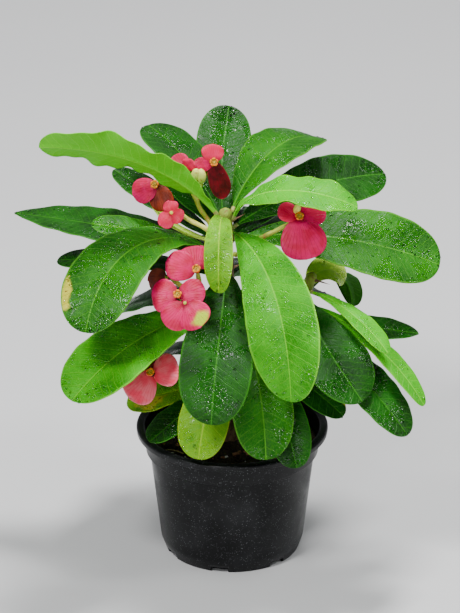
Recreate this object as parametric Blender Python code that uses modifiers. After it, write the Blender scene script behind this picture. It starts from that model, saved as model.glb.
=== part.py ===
"""Crown of thorns in a nursery pot: pot, soil, thorny stem, leaves, flower stalks and bracts.

Sizes are in millimetres until they reach Blender. The origin is at the middle of the pot's foot,
+X points right, +Y away from the front, +Z up. Azimuth 0 points right, 90 to the back, 180 left.
"""

import math
import random
from dataclasses import dataclass

import bmesh
import bpy
import numpy as np
from mathutils import Vector

MM = 0.001
GAP = 0.3
COLLECTION_NAME = "crown_of_thorns_plant"

# Pot
POT_HEIGHT = 97.0
RIM_RADIUS = 70.0
LIP_HEIGHT = 5.0
LIP_DROP = 1.4
COLLAR_RADIUS = 63.6
COLLAR_HEIGHT = 15.0
SHOULDER_RADIUS = 60.2
FOOT_RADIUS = 52.3
FOOT_CHAMFER = 3.2
FOOT_CHAMFER_HEIGHT = 9.0
POT_WALL = 2.0
POT_BASE = 5.6
POT_SIDES = 40
NOTCH_COUNT = 7
NOTCH_WIDTH = 12.6
NOTCH_HEIGHT = 4.0
NOTCH_DEPTH = 4.5
NOTCH_OVERCUT = 2.0
FIRST_NOTCH = -100.5

# Soil
SOIL_TOP = 84.0
SOIL_RIPPLE = 1.6
SOIL_RINGS = 7

# Stem
STEM_FOOT = 30.0
STEM_SIDES = 8
THORN_SIDES = 4
THORN_ROOT = 1.0
THORN_SINK = 1.6
THORN_LENGTHS = (7.0, 12.0)
THORN_SPACING = 4.4
THORN_CLEARANCE = 2.6
GOLDEN_ANGLE = 137.5

# Leaf blade
LEAF_ROWS = 7
ROW_SPACING = 45.0
LEAF_COLUMNS = 5
WAVED_ROWS = 6
LEAF_THICKNESS = 2.0
EDGE_SHARE = 0.42
PETIOLE_SHARE = 0.06
PETIOLE_HALF_WIDTH = 1.5
TIP_HALF_WIDTH = 0.6
TAPER = 0.85
ROUNDNESS = 2.4
LEAF_FOOT_GAP = 0.5
WAVE_LEAD = 0.18

# Flowers
STALK_RADIUS = 1.7
STALK_SIDES = 6
CUP_RADIUS = 3.4
CUP_HEIGHT = 3.6
BRACT_THICKNESS = 1.0
BRACT_ROWS = 6
BRACT_COLUMNS = 5
HUB_RADIUS = 3.3
HUB_THICKNESS = 1.4
BRACT_START = 0.8
BRACT_TAPER = 0.5
BRACT_ROUNDNESS = 2.6
BRACT_FOOT_HALF_WIDTH = 2.2
BRACT_TIP_HALF_WIDTH = 0.5
NECK = 6.0
TIP_STAND = 1.6
TIP_RADIUS = 1.2
CUP_SEAT = 1.5
STALK_FOOT_CLEARANCE = 0.1


@dataclass(frozen=True)
class Stem:
    """One woody axis: points up its middle and its radius at the foot and the top."""

    points: tuple
    foot_radius: float
    top_radius: float

    def at(self, height):
        """Middle, direction and radius at a height above the floor."""
        line = np.array(self.points, float)
        middle = np.array([np.interp(height, line[:, 2], line[:, k]) for k in range(3)])
        upper = min(max(int(np.searchsorted(line[:, 2], height)), 1), len(line) - 1)
        along = line[upper] - line[upper - 1]
        share = np.clip((height - line[0, 2]) / (line[-1, 2] - line[0, 2]), 0, 1)
        radius = self.foot_radius + (self.top_radius - self.foot_radius) * share
        return middle, along / np.linalg.norm(along), radius

    def surface_point(self, height, azimuth, clearance):
        """Point beside the stem at a height and azimuth, and the way out from its middle."""
        middle, along, radius = self.at(height)
        turn = math.radians(azimuth)
        out = np.array([math.cos(turn), math.sin(turn), 0.0])
        out = out - along * out.dot(along)
        out = out / np.linalg.norm(out)
        return middle + out * (radius + clearance), out


STEMS = {
    "main": Stem(((0, 0, STEM_FOOT), (0, 0, 110), (-2, 2, 160), (-4, 4, 220), (-5, 4, 266)), 6.2, 5.0),
    "branch": Stem(((-1, 1, 128), (22, -4, 158), (44, -8, 188), (58, -10, 222)), 4.8, 4.0),
}


@dataclass(frozen=True)
class Leaf:
    """One leaf: where its stalk leaves the stem, how it arches, and the size and set of its blade."""

    name: str
    stem: str
    height: float
    azimuth: float
    rise: float
    droop: float
    length: float
    width: float
    swing: float = 0.0
    roll: float = 0.0
    twist: float = 0.0
    bend: float = 1.0
    fold: float = 10.0
    curl: float = 0.12
    wave: float = 0.0
    waves: float = 1.5
    phase: float = 0.0
    bluntness: float = 0.5

    def half_width(self, share):
        """Half the blade's width along its length, from the stalk at 0 to the tip at 1."""
        along = np.clip((share - PETIOLE_SHARE) / (1 - PETIOLE_SHARE), 0, 1)
        widest = (TAPER / (TAPER + ROUNDNESS * self.bluntness)) ** (1 / ROUNDNESS)
        blade = along**TAPER * (1 - along**ROUNDNESS) ** self.bluntness
        most = widest**TAPER * (1 - widest**ROUNDNESS) ** self.bluntness
        stalk = PETIOLE_HALF_WIDTH * (1 - share) ** 2 + TIP_HALF_WIDTH * share
        return self.width / 2 * blade / most + stalk

    def midrib(self, share):
        """Points along the midrib, with its direction, level side and upward normal there."""
        fine = np.linspace(0, 1, 61)
        middle = (fine[1:] + fine[:-1]) / 2
        lift = np.radians(self.rise + (self.droop - self.rise) * middle**self.bend)
        turn = np.radians(self.azimuth + self.swing * middle)
        steps = np.stack([np.cos(lift) * np.cos(turn), np.cos(lift) * np.sin(turn), np.sin(lift)], 1)
        clearance = LEAF_FOOT_GAP + LEAF_THICKNESS / 2 * abs(math.sin(math.radians(self.rise)))
        foot, _ = STEMS[self.stem].surface_point(self.height, self.azimuth, clearance)
        line = np.vstack([foot, foot + np.cumsum(steps * self.length / len(middle), 0)])
        points = np.stack([np.interp(share, fine, line[:, k]) for k in range(3)], 1)
        lift = np.radians(self.rise + (self.droop - self.rise) * share**self.bend)
        turn = np.radians(self.azimuth + self.swing * share)
        along = np.stack([np.cos(lift) * np.cos(turn), np.cos(lift) * np.sin(turn), np.sin(lift)], 1)
        side = np.stack([-np.sin(turn), np.cos(turn), np.zeros_like(turn)], 1)
        return points, side, np.cross(along, side)

    def surface(self, share, across):
        """Blade points for each share of the length and each place across, -1 to 1."""
        points, side, normal = self.midrib(share)
        roll = np.radians(self.roll + self.twist * share)[:, None]
        side, normal = side * np.cos(roll) + normal * np.sin(roll), normal * np.cos(roll) - side * np.sin(roll)
        width = self.half_width(share)[:, None]
        fold = math.radians(self.fold)
        reach = width * across[None, :] * math.cos(fold)
        edge = np.abs(across[None, :])
        beat = self.waves * share[:, None] + self.phase + WAVE_LEAD * np.sign(across[None, :])
        ripple = self.wave * edge**1.5 * np.sin(2 * math.pi * beat) * np.sin(math.pi * share[:, None]) ** 0.7
        height = width * edge * math.sin(fold) - self.curl * width * edge**2 + ripple
        return points[:, None, :] + side[:, None, :] * reach[..., None] + normal[:, None, :] * height[..., None]


@dataclass(frozen=True)
class Bract:
    """One coloured bract: which way it spreads on the face of its flower, and its size."""

    clock: float
    length: float
    width: float
    lift: float = 8.0
    arch: float = 0.16
    cup: float = 0.12


@dataclass(frozen=True)
class Bloom:
    """One flower: the middle of its bracts, the way it faces, its bracts, and whether it has its cup."""

    name: str
    centre: tuple
    azimuth: float
    elevation: float
    bracts: tuple
    cup: bool = True

    def frame(self):
        """Right, up and facing directions of the flower."""
        turn = math.radians(self.azimuth)
        lift = math.radians(self.elevation)
        facing = np.array([math.cos(lift) * math.cos(turn), math.cos(lift) * math.sin(turn), math.sin(lift)])
        up = np.array([0.0, 0.0, 1.0]) - facing * facing[2]
        up = up / np.linalg.norm(up)
        return np.cross(up, facing), up, facing

    def bract_surface(self, bract, share, across):
        """Points of one bract for each share of its length and each place across."""
        right, up, facing = self.frame()
        clock = math.radians(bract.clock)
        along = right * math.cos(clock) + up * math.sin(clock)
        side = np.cross(facing, along)
        lift = math.radians(bract.lift)
        reach = BRACT_START + share * (bract.length - BRACT_START)
        rise = reach * math.sin(lift) - bract.arch * reach**2 / bract.length
        blade = np.clip(share, 0, 1) ** BRACT_TAPER * np.sqrt(np.clip(1 - share**BRACT_ROUNDNESS, 0, 1))
        widest = (2 * BRACT_TAPER / (2 * BRACT_TAPER + BRACT_ROUNDNESS)) ** (1 / BRACT_ROUNDNESS)
        most = widest**BRACT_TAPER * math.sqrt(1 - widest**BRACT_ROUNDNESS)
        width = bract.width / 2 * blade / most + BRACT_FOOT_HALF_WIDTH * (1 - share) + BRACT_TIP_HALF_WIDTH * share
        sag = bract.cup * width[:, None] * across[None, :] ** 2
        middle = np.array(self.centre, float) + along * (reach * math.cos(lift))[:, None] + facing * rise[:, None]
        spread = side * (width[:, None] * across[None, :])[..., None]
        return middle[:, None, :] + spread - facing * sag[..., None]


@dataclass(frozen=True)
class Stalk:
    """One branching flower stalk: runs of points and the flowers that it carries at their ends."""

    name: str
    stem: str
    height: float
    azimuth: float
    runs: tuple


LEAVES = (
    Leaf("leaf_upper_left_wavy", "main", 262, -149, 55, -2, 151, 42, swing=-34, roll=38, twist=17,
         wave=2.0, waves=2.5, curl=0.05),
    Leaf("leaf_upper_back_left", "main", 256, 127, 50, 12, 94, 43, swing=8, roll=10, twist=-6),
    Leaf("leaf_top_centre", "main", 250, 97, 14, 38, 116, 40, swing=-18, roll=7, twist=7),
    Leaf("leaf_top_centre_right", "main", 261, 48, 58, -31, 115, 50, swing=6, bluntness=0.8),
    Leaf("leaf_back_right_dark", "main", 249, 40, 17, -11, 140, 47, swing=-8, roll=18, twist=12, bluntness=0.6),
    Leaf("leaf_right_large", "main", 243, -3, 9, -25, 151, 61, swing=5, roll=17, twist=15),
    Leaf("leaf_upper_right_lime_wavy", "main", 259, -39, 82, -29, 108, 31, swing=43, roll=28, twist=-14,
         bend=0.6, wave=2.4, waves=2.5),
    Leaf("leaf_centre_young", "main", 255, -98, 76, -90, 88, 20, swing=10, roll=-25, twist=50, bend=0.7),
    Leaf("leaf_front_centre_large", "main", 251, -61, 8, -79, 158, 54, swing=-18, roll=20, twist=26),
    Leaf("leaf_front_left_dark", "main", 222, -91, 4, -76, 138, 52, swing=-12),
    Leaf("leaf_left_large_drooping", "main", 230, -159, 45, -60, 156, 54, swing=50, roll=-5, twist=-3),
    Leaf("leaf_left_lower_large", "main", 188, -146, 9, -35, 142, 56, swing=10, roll=-13, twist=6),
    Leaf("leaf_far_left_pointed", "main", 233, 161, 6, 2, 154, 50, swing=7, roll=-10, twist=13, bluntness=0.9),
    Leaf("leaf_left_small_lime", "main", 226, -168, 34, 6, 97, 23, swing=-11, roll=-16, twist=-5),
    Leaf("leaf_left_small_pale", "main", 240, 174, 8, 75, 66, 13, bend=1.4),
    Leaf("leaf_left_small_dark", "main", 213, 165, 9, -11, 122, 29, roll=-6, twist=-4),
    Leaf("leaf_upper_left_dark", "main", 238, 145, 22, 24, 96, 35, swing=9, twist=3),
    Leaf("leaf_low_front_dark", "main", 189, -68, -7, -76, 125, 44, swing=-14),
    Leaf("leaf_low_right_over_rim", "main", 165, -59, -5, -72, 114, 32, swing=3, roll=23, twist=11),
    Leaf("leaf_right_lower_dark", "branch", 206, -85, -12, -47, 100, 52, swing=50, roll=11, twist=-6),
    Leaf("leaf_right_lowest", "branch", 187, -49, -9, -48, 122, 41, swing=16, roll=7, twist=-6),
    Leaf("leaf_right_lime_narrow", "branch", 210, -41, 1, -42, 78, 20, roll=-5, twist=3),
    Leaf("leaf_right_lime_lower", "branch", 200, -34, -4, -58, 117, 20, swing=10, twist=7),
    Leaf("leaf_right_small_dark", "branch", 189, -10, -6, -3, 86, 25, roll=5, twist=9, bluntness=0.8),
    Leaf("leaf_right_pale_young", "branch", 208, 61, 60, -69, 40, 28, swing=-60, roll=19),
    Leaf("leaf_right_hanging_dark", "branch", 200, 59, 36, -87, 90, 20, swing=-7, roll=-7, twist=-5),
    Leaf("leaf_low_left_yellow", "main", 133, 175, -22, -15, 74, 36, swing=-9, roll=-7, twist=-12),
    Leaf("leaf_low_left_rim", "main", 134, -132, -13, -27, 77, 30, swing=-13),
    Leaf("leaf_low_front_yellow", "main", 156, -107, -6, -68, 92, 37),
    Leaf("leaf_low_right_dark", "main", 161, -41, -1, -40, 99, 26, swing=19, roll=25),
    Leaf("leaf_inner_top_left", "main", 246, 133, 34, 18, 62, 26),
    Leaf("leaf_inner_right_dark", "main", 240, 42, 28, 2, 41, 18),
    Leaf("leaf_back_upper_left", "main", 243, 95, 22, -35, 116, 48),
    Leaf("leaf_back_upper_right", "main", 236, 62, 15, -45, 115, 50),
    Leaf("leaf_back_middle_left", "main", 218, 119, 9, -45, 120, 50),
    Leaf("leaf_back_middle", "main", 206, 88, 5, -50, 125, 52),
    Leaf("leaf_back_middle_right", "main", 196, 40, 5, -45, 110, 46),
    Leaf("leaf_back_lower_left", "main", 190, 151, 5, -46, 110, 54),
    Leaf("leaf_back_lower", "main", 168, 108, 5, -50, 100, 42),
    Leaf("leaf_back_lower_right", "main", 178, 66, 5, -50, 104, 44),
    Leaf("leaf_back_low_right", "main", 150, 30, 0, -45, 94, 38),
    Leaf("leaf_back_low_left", "main", 150, 142, 0, -45, 90, 46),
)

YOUNG_LEAVES = {
    "leaf_upper_left_wavy", "leaf_upper_right_lime_wavy", "leaf_centre_young", "leaf_left_small_lime",
    "leaf_left_small_pale", "leaf_right_lime_narrow", "leaf_right_lime_lower", "leaf_right_pale_young",
    "leaf_low_left_yellow", "leaf_low_front_yellow",
}

BLOOMS = (
    Bloom("right_bracts", (47, -15, 267), -80, 38,
          (Bract(-84, 31, 31), Bract(28, 20, 22), Bract(150, 16, 12, lift=12))),
    Bloom("centre_upper_bracts", (-25, -46, 240), -95, 40,
          (Bract(88, 18, 24), Bract(168, 23, 20, lift=14), Bract(120, 20, 14, lift=-14))),
    Bloom("centre_middle_bracts", (-38, -58, 226), -100, 38,
          (Bract(184, 19, 22), Bract(16, 20, 17, lift=14))),
    Bloom("centre_lower_bracts", (-33, -73, 227), -100, 30,
          (Bract(-122, 21, 19), Bract(-48, 21, 21, lift=14)), cup=False),
    Bloom("centre_old_bract", (-46, -30, 227), -120, 30,
          (Bract(200, 17, 15, lift=-4),), cup=False),
    Bloom("lower_bracts", (-57, -44, 158), -115, 42,
          (Bract(28, 20, 23), Bract(-122, 24, 27), Bract(140, 17, 18, lift=0))),
    Bloom("upper_bracts", (-14, 12, 298), -75, 25,
          (Bract(82, 13, 14), Bract(186, 14, 8, lift=0), Bract(-74, 27, 13, lift=-4))),
    Bloom("upper_left_bract", (-33, 8, 294), -100, 40,
          (Bract(140, 14, 13), Bract(60, 9, 8, lift=30)), cup=False),
    Bloom("left_bracts", (-54, 6, 283), -110, 30,
          (Bract(-150, 19, 16), Bract(-62, 19, 15, lift=-2))),
    Bloom("left_small_bracts", (-43, -7, 267), -110, 35,
          (Bract(-120, 12, 11), Bract(-20, 10, 9, lift=14), Bract(110, 9, 9, lift=14)), cup=False),
)

STALKS = (
    Stalk("right_flower_stalk", "main", 232, -28, (((18, -9, 247), (32, -10, 255), "right_bracts"),)),
    Stalk("upper_flower_stalk", "main", 245, 158,
          (((-16, 7, 253), (-25, 6, 270), (-22, 9, 284), "upper_bracts"),
           ((-25, 6, 270), (-30, 8, 282), "upper_left_bract"))),
    Stalk("left_flower_stalk", "main", 247, -170,
          (((-20, -1, 253), (-34, 0, 261), (-46, 6, 272), "left_bracts"),
           ((-34, 0, 261), "left_small_bracts"))),
    Stalk("centre_flower_stalk", "main", 206, -140,
          (((-19, -20, 211), (-22, -34, 220), "centre_upper_bracts"),
           ((-19, -20, 211), (-31, -47, 216), "centre_middle_bracts"),
           ((-31, -47, 216), (-33, -61, 211), "centre_lower_bracts"),
           ((-19, -20, 211), (-34, -24, 217), "centre_old_bract"))),
    Stalk("lower_flower_stalk", "main", 150, -150,
          (((-26, -16, 154), (-44, -32, 152), "lower_bracts"),)),
)


def purge_scene():
    """Empties the scene, so that the script can run again."""
    for item in list(bpy.data.objects):
        bpy.data.objects.remove(item, do_unlink=True)
    for group in list(bpy.data.collections):
        bpy.data.collections.remove(group)


def new_collection(name, shown=True):
    """Makes a collection in the scene."""
    group = bpy.data.collections.new(name)
    group.hide_render = not shown
    bpy.context.scene.collection.children.link(group)
    return group


def material(name, colour, roughness, coat=0.0):
    """Makes one Principled material."""
    made = bpy.data.materials.new(name)
    made.use_nodes = True
    shader = made.node_tree.nodes["Principled BSDF"]
    shader.inputs["Base Color"].default_value = (*colour, 1.0)
    shader.inputs["Roughness"].default_value = roughness
    shader.inputs["Metallic"].default_value = 0.0
    shader.inputs["Coat Weight"].default_value = coat
    return made


def add_object(name, data, group, finish=None):
    """Puts data into the scene as a named object."""
    item = bpy.data.objects.new(name, data)
    group.objects.link(item)
    if finish is not None:
        item.data.materials.append(finish)
    return item


def evaluated_mesh(item):
    """The object's mesh with its modifiers applied, or its curve as a welded mesh."""
    bpy.context.view_layer.update()
    graph = bpy.context.evaluated_depsgraph_get()
    mesh = bpy.data.meshes.new_from_object(item.evaluated_get(graph), depsgraph=graph)
    shape = bmesh.new()
    shape.from_mesh(mesh)
    bmesh.ops.remove_doubles(shape, verts=shape.verts, dist=1e-6)
    bmesh.ops.recalc_face_normals(shape, faces=shape.faces)
    shape.to_mesh(mesh)
    shape.free()
    return mesh


def settle(item):
    """Turns an object with modifiers, or a curve, into a plain mesh object of the same name."""
    mesh = evaluated_mesh(item)
    name = item.name
    groups = list(item.users_collection)
    place = item.matrix_world.copy()
    finish = item.data.materials[0] if item.data.materials else None
    bpy.data.objects.remove(item, do_unlink=True)
    plain = bpy.data.objects.new(name, mesh)
    for group in groups:
        group.objects.link(plain)
    plain.matrix_world = place
    mesh.materials.clear()
    if finish is not None:
        mesh.materials.append(finish)
    return plain


def fuse(body, pieces):
    """Joins the pieces to the body as one closed solid, and removes them."""
    joined = new_collection("joined", shown=False)
    for piece in pieces:
        for group in list(piece.users_collection):
            group.objects.unlink(piece)
        joined.objects.link(piece)
    union = body.modifiers.new("union", "BOOLEAN")
    union.operation = "UNION"
    union.operand_type = "COLLECTION"
    union.collection = joined
    union.solver = "MANIFOLD"
    whole = settle(body)
    for piece in pieces:
        bpy.data.objects.remove(piece, do_unlink=True)
    bpy.data.collections.remove(joined)
    return whole


def cut(body, cutter):
    """Takes the cutter out of the body."""
    cutter.display_type = "WIRE"
    cutter.hide_render = True
    knife = body.modifiers.new("cut", "BOOLEAN")
    knife.operation = "DIFFERENCE"
    knife.object = cutter
    knife.solver = "EXACT"


def turned(name, profile, sides, group, finish):
    """Turns a profile of radius and height about the upright axis."""
    mesh = bpy.data.meshes.new(name)
    corners = [(radius * MM, 0.0, height * MM) for radius, height in profile]
    mesh.from_pydata(corners, [(k, k + 1) for k in range(len(corners) - 1)], [])
    item = add_object(name, mesh, group, finish)
    screw = item.modifiers.new("turn", "SCREW")
    screw.steps = sides
    screw.render_steps = sides
    screw.use_merge_vertices = True
    screw.merge_threshold = 1e-5
    return item


def tube(name, points, radii, sides, group, finish):
    """A round tube through points, as a mesh with closed ends."""
    curve = bpy.data.curves.new(name, "CURVE")
    curve.dimensions = "3D"
    curve.bevel_depth = MM
    curve.bevel_resolution = sides // 2 - 2
    curve.use_fill_caps = True
    line = curve.splines.new("POLY")
    line.points.add(len(points) - 1)
    for knot, point, radius in zip(line.points, points, radii):
        knot.co = (*(np.asarray(point) * MM), 1.0)
        knot.radius = radius
    return settle(add_object(name, curve, group, finish))


def smooth_route(corners, step):
    """A smooth curve through the corner points, with a point about every step along it."""
    corners = np.array(corners, float)
    if len(corners) < 3:
        count = max(2, int(np.linalg.norm(corners[-1] - corners[0]) // step) + 1)
        return corners[0] + (corners[-1] - corners[0]) * np.linspace(0, 1, count)[:, None]
    padded = np.vstack([2 * corners[0] - corners[1], corners, 2 * corners[-1] - corners[-2]])
    points = []
    for before, start, end, after in zip(padded, padded[1:], padded[2:], padded[3:]):
        count = max(2, int(np.linalg.norm(end - start) // step) + 1)
        t = np.linspace(0, 1, count, endpoint=False)[:, None]
        points.append(0.5 * (2 * start + (end - before) * t + (2 * before - 5 * start + 4 * end - after) * t**2
                             + (3 * start - before - 3 * end + after) * t**3))
    return np.vstack([*points, corners[-1:]])


def grid_mesh(name, points):
    """A grid of points as triangles, split alike so that both faces of the blade match."""
    rows, columns = points.shape[:2]
    shape = bmesh.new()
    bmesh.ops.create_grid(shape, x_segments=columns - 1, y_segments=rows - 1, size=1.0)
    shape.verts.ensure_lookup_table()
    for vertex in shape.verts:
        column = round((vertex.co.x + 1) / 2 * (columns - 1))
        row = round((vertex.co.y + 1) / 2 * (rows - 1))
        vertex.co = Vector(points[row, column] * MM)
        vertex.index = row * columns + column
    shape.verts.sort()
    bmesh.ops.triangulate(shape, faces=shape.faces[:], quad_method="FIXED")
    mesh = bpy.data.meshes.new(name)
    shape.to_mesh(mesh)
    shape.free()
    return mesh


def blade_object(name, points, thickness, shares, group, finish):
    """A thin closed blade on a grid of points; shares give the part of the thickness at each point."""
    item = add_object(name, grid_mesh(name, points), group, finish)
    weights = item.vertex_groups.new(name="thickness")
    for index, share in enumerate(shares.ravel()):
        weights.add([index], float(share), "REPLACE")
    shell = item.modifiers.new("blade", "SOLIDIFY")
    shell.thickness = thickness * MM
    shell.offset = 0.0
    shell.vertex_group = "thickness"
    shell.thickness_vertex_group = 0.0
    return item


def add_pot(group, cutters, finish):
    """The pot: base, tapered wall, stacking collar and rolled lip, with notches in its foot."""
    shoulder = POT_HEIGHT - LIP_HEIGHT - COLLAR_HEIGHT
    inner_foot = FOOT_RADIUS - POT_WALL
    profile = [
        (0.0, POT_BASE), (inner_foot - 1, POT_BASE), (inner_foot, FOOT_CHAMFER_HEIGHT),
        (SHOULDER_RADIUS - POT_WALL, shoulder), (COLLAR_RADIUS - POT_WALL, shoulder + 2.5),
        (RIM_RADIUS - 6.5, POT_HEIGHT - 1.0), (RIM_RADIUS - 5.2, POT_HEIGHT),
        (RIM_RADIUS - 1.0, POT_HEIGHT - 0.3), (RIM_RADIUS, POT_HEIGHT - LIP_DROP),
        (RIM_RADIUS - 0.4, POT_HEIGHT - LIP_HEIGHT), (COLLAR_RADIUS, POT_HEIGHT - LIP_HEIGHT - 0.8),
        (COLLAR_RADIUS - 0.6, shoulder + 0.8), (SHOULDER_RADIUS, shoulder),
        (FOOT_RADIUS, FOOT_CHAMFER_HEIGHT), (FOOT_RADIUS - FOOT_CHAMFER, 0.0), (0.0, 0.0),
    ]
    pot = turned("pot", profile, POT_SIDES, group, finish)
    knives = []
    for index in range(NOTCH_COUNT):
        turn = math.radians(FIRST_NOTCH + 360 / NOTCH_COUNT * index)
        bpy.ops.mesh.primitive_cube_add(size=1.0)
        knife = bpy.context.object
        knife.name = f"notch_{index + 1}"
        knife.scale = ((NOTCH_DEPTH + NOTCH_OVERCUT) * MM, NOTCH_WIDTH * MM, (NOTCH_HEIGHT + NOTCH_OVERCUT) * MM)
        middle = FOOT_RADIUS - FOOT_CHAMFER + (NOTCH_OVERCUT - NOTCH_DEPTH) / 2
        level = (NOTCH_HEIGHT - NOTCH_OVERCUT) / 2
        knife.location = (middle * MM * math.cos(turn), middle * MM * math.sin(turn), level * MM)
        knife.rotation_euler = (0.0, 0.0, turn)
        for owner in list(knife.users_collection):
            owner.objects.unlink(knife)
        cutters.objects.link(knife)
        knives.append(knife)
    for knife in knives:
        cut(pot, knife)
    return pot


def soil_height(x, y):
    """Rise and fall of the soil's surface, in millimetres."""
    waves = math.sin(0.13 * x + 0.6) * math.cos(0.11 * y - 0.4) + 0.5 * math.sin(0.31 * x - 0.27 * y)
    return SOIL_RIPPLE * waves


def add_soil(group, cutters, finish):
    """The soil: fills the pot to below its rim, with a plain hole that the stem stands in."""
    shoulder = POT_HEIGHT - LIP_HEIGHT - COLLAR_HEIGHT
    top_radius = COLLAR_RADIUS - POT_WALL - GAP - 0.4
    inner_foot = FOOT_RADIUS - POT_WALL
    radii = [top_radius * ring / SOIL_RINGS for ring in range(SOIL_RINGS + 1)]
    profile = [(0.0, POT_BASE + GAP), (inner_foot - 1 - 2 * GAP, POT_BASE + GAP),
               (inner_foot - 2 * GAP, FOOT_CHAMFER_HEIGHT), (SHOULDER_RADIUS - POT_WALL - 2 * GAP, shoulder + GAP),
               (top_radius, shoulder + 2.5 + 2 * GAP)]
    profile += [(radius, SOIL_TOP) for radius in reversed(radii)]
    soil = settle(turned("soil", profile[::-1], POT_SIDES // 2, group, finish))
    for vertex in soil.data.vertices:
        if vertex.co.z > (SOIL_TOP - 0.01) * MM:
            edge = 1 - math.hypot(vertex.co.x, vertex.co.y) / (top_radius * MM)
            vertex.co.z += soil_height(vertex.co.x / MM, vertex.co.y / MM) * min(1.0, 4 * edge) * MM
    hole = turned("stem_hole", [(0.0, POT_HEIGHT), (STEMS["main"].foot_radius + 2 * GAP, POT_HEIGHT),
                                (STEMS["main"].foot_radius + 2 * GAP, STEM_FOOT - GAP), (0.0, STEM_FOOT - GAP)],
                  24, cutters, None)
    cut(soil, hole)
    return soil


def blade_clouds(leaves):
    """Points all over the leaves, bracts and stalks, which the thorns keep clear of."""
    share = np.linspace(0, 0.5, 14)
    clouds = [leaf.surface(share, np.linspace(-1, 1, 5)).reshape(-1, 3) for leaf in leaves]
    clouds += [stalk_route(stalk, 0) for stalk in STALKS]
    return np.vstack(clouds)


def thorn_places(stem, keep_clear, chance):
    """Feet, directions and lengths of the thorns that have room on one stem."""
    line = np.array(stem.points, float)
    height = max(line[0, 2] + 6, SOIL_TOP + 12)
    turn = chance.uniform(0, 360)
    while height < line[-1, 2] - 3:
        length = chance.uniform(*THORN_LENGTHS)
        foot, out = stem.surface_point(height, turn, -THORN_SINK)
        aim = out + stem.at(height)[1] * chance.uniform(-0.1, 0.45)
        aim = aim / np.linalg.norm(aim)
        reach = foot + aim * np.linspace(THORN_SINK, THORN_SINK + length, 6)[:, None]
        nearest = np.linalg.norm(keep_clear[None] - reach[:, None], axis=2).min()
        if nearest > THORN_CLEARANCE + 1.2:
            yield foot, aim, THORN_SINK + length
        height += THORN_SPACING
        turn += GOLDEN_ANGLE


def add_stem(group, leaves, finish):
    """The woody stem with its side branch and thorns, as one solid."""
    body = None
    pieces = []
    for name, stem in STEMS.items():
        route = smooth_route(stem.points, 12)
        radii = [stem.at(point[2])[2] for point in route]
        part = tube(f"stem_{name}", route, radii, STEM_SIDES, group, finish)
        body, pieces = (part, pieces) if body is None else (body, [*pieces, part])
    keep_clear = blade_clouds(leaves)
    chance = random.Random(7)
    for stem in STEMS.values():
        for foot, aim, length in thorn_places(stem, keep_clear, chance):
            shape = bmesh.new()
            bmesh.ops.create_cone(shape, cap_ends=True, segments=THORN_SIDES, radius1=THORN_ROOT * MM,
                                  radius2=0.12 * MM, depth=length * MM)
            bmesh.ops.translate(shape, verts=shape.verts, vec=(0, 0, length / 2 * MM))
            mesh = bpy.data.meshes.new("thorn")
            shape.to_mesh(mesh)
            shape.free()
            thorn = add_object("thorn", mesh, group)
            thorn.rotation_euler = Vector(aim).to_track_quat("Z", "Y").to_euler()
            thorn.location = Vector(foot * MM)
            pieces.append(thorn)
    body.name = "stem"
    return fuse(body, pieces)


def tip_heavy(rows):
    """Shares of a length from 0 to 1, closer together towards the tip, so that its outline is round."""
    return np.sin(np.linspace(0, math.pi / 2, rows)) ** 1.15


def add_leaf(leaf, group, finish):
    """One leaf as a thin arched blade, thicker along its midrib."""
    rows = LEAF_ROWS + round(max(0, leaf.length - 90) / ROW_SPACING) + (WAVED_ROWS if leaf.wave else 0)
    share = tip_heavy(rows)
    across = np.linspace(-1, 1, LEAF_COLUMNS)
    points = leaf.surface(share, across)
    weights = 1 - (1 - EDGE_SHARE) * np.abs(across)[None, :] * np.minimum(1, share / 0.15)[:, None]
    weights = weights * (1 - 0.35 * share[:, None])
    return blade_object(leaf.name, points, LEAF_THICKNESS, np.maximum(weights, 0.4), group, finish)


def stalk_route(stalk, index):
    """Smooth route of one run of a flower stalk, from the stem or the run it leaves to its flower."""
    run = stalk.runs[index]
    bloom = next(item for item in BLOOMS if item.name == run[-1])
    facing = bloom.frame()[2]
    corners = [np.array(point, float) for point in run[:-1]]
    if index == 0:
        foot, out = STEMS[stalk.stem].surface_point(stalk.height, stalk.azimuth, LEAF_FOOT_GAP + STALK_FOOT_CLEARANCE)
        corners = [foot, foot + out * 4, *corners]
    middle = np.array(bloom.centre, float)
    return np.vstack([smooth_route([*corners, middle - facing * NECK], 9), middle + facing * TIP_STAND])


def add_stalk(stalk, group, finish):
    """One branching flower stalk with the little cups at its ends, as one solid."""
    parts = []
    for index, run in enumerate(stalk.runs):
        bloom = next(item for item in BLOOMS if item.name == run[-1])
        route = stalk_route(stalk, index)
        left = np.linalg.norm(route - route[-1], axis=1)
        radii = np.where(left < NECK + TIP_STAND + 0.5, TIP_RADIUS, STALK_RADIUS)
        parts.append(tube(f"{stalk.name}_{index + 1}", route, radii, STALK_SIDES, group, finish))
        if bloom.cup:
            cup = turned("cup", [(0.0, CUP_HEIGHT - 1.2), (CUP_RADIUS * 0.55, CUP_HEIGHT - 0.4),
                                 (CUP_RADIUS * 0.8, CUP_HEIGHT), (CUP_RADIUS, CUP_HEIGHT - 0.5),
                                 (TIP_RADIUS * 1.1, 0.0), (0.0, 0.0)], 12, group, finish)
            cup = settle(cup)
            facing = bloom.frame()[2]
            cup.rotation_euler = Vector(facing).to_track_quat("Z", "Y").to_euler()
            cup.location = Vector((np.array(bloom.centre) + facing * CUP_SEAT) * MM)
            parts.append(cup)
    body = parts[0]
    body.name = stalk.name
    return fuse(body, parts[1:]) if len(parts) > 1 else body


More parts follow.
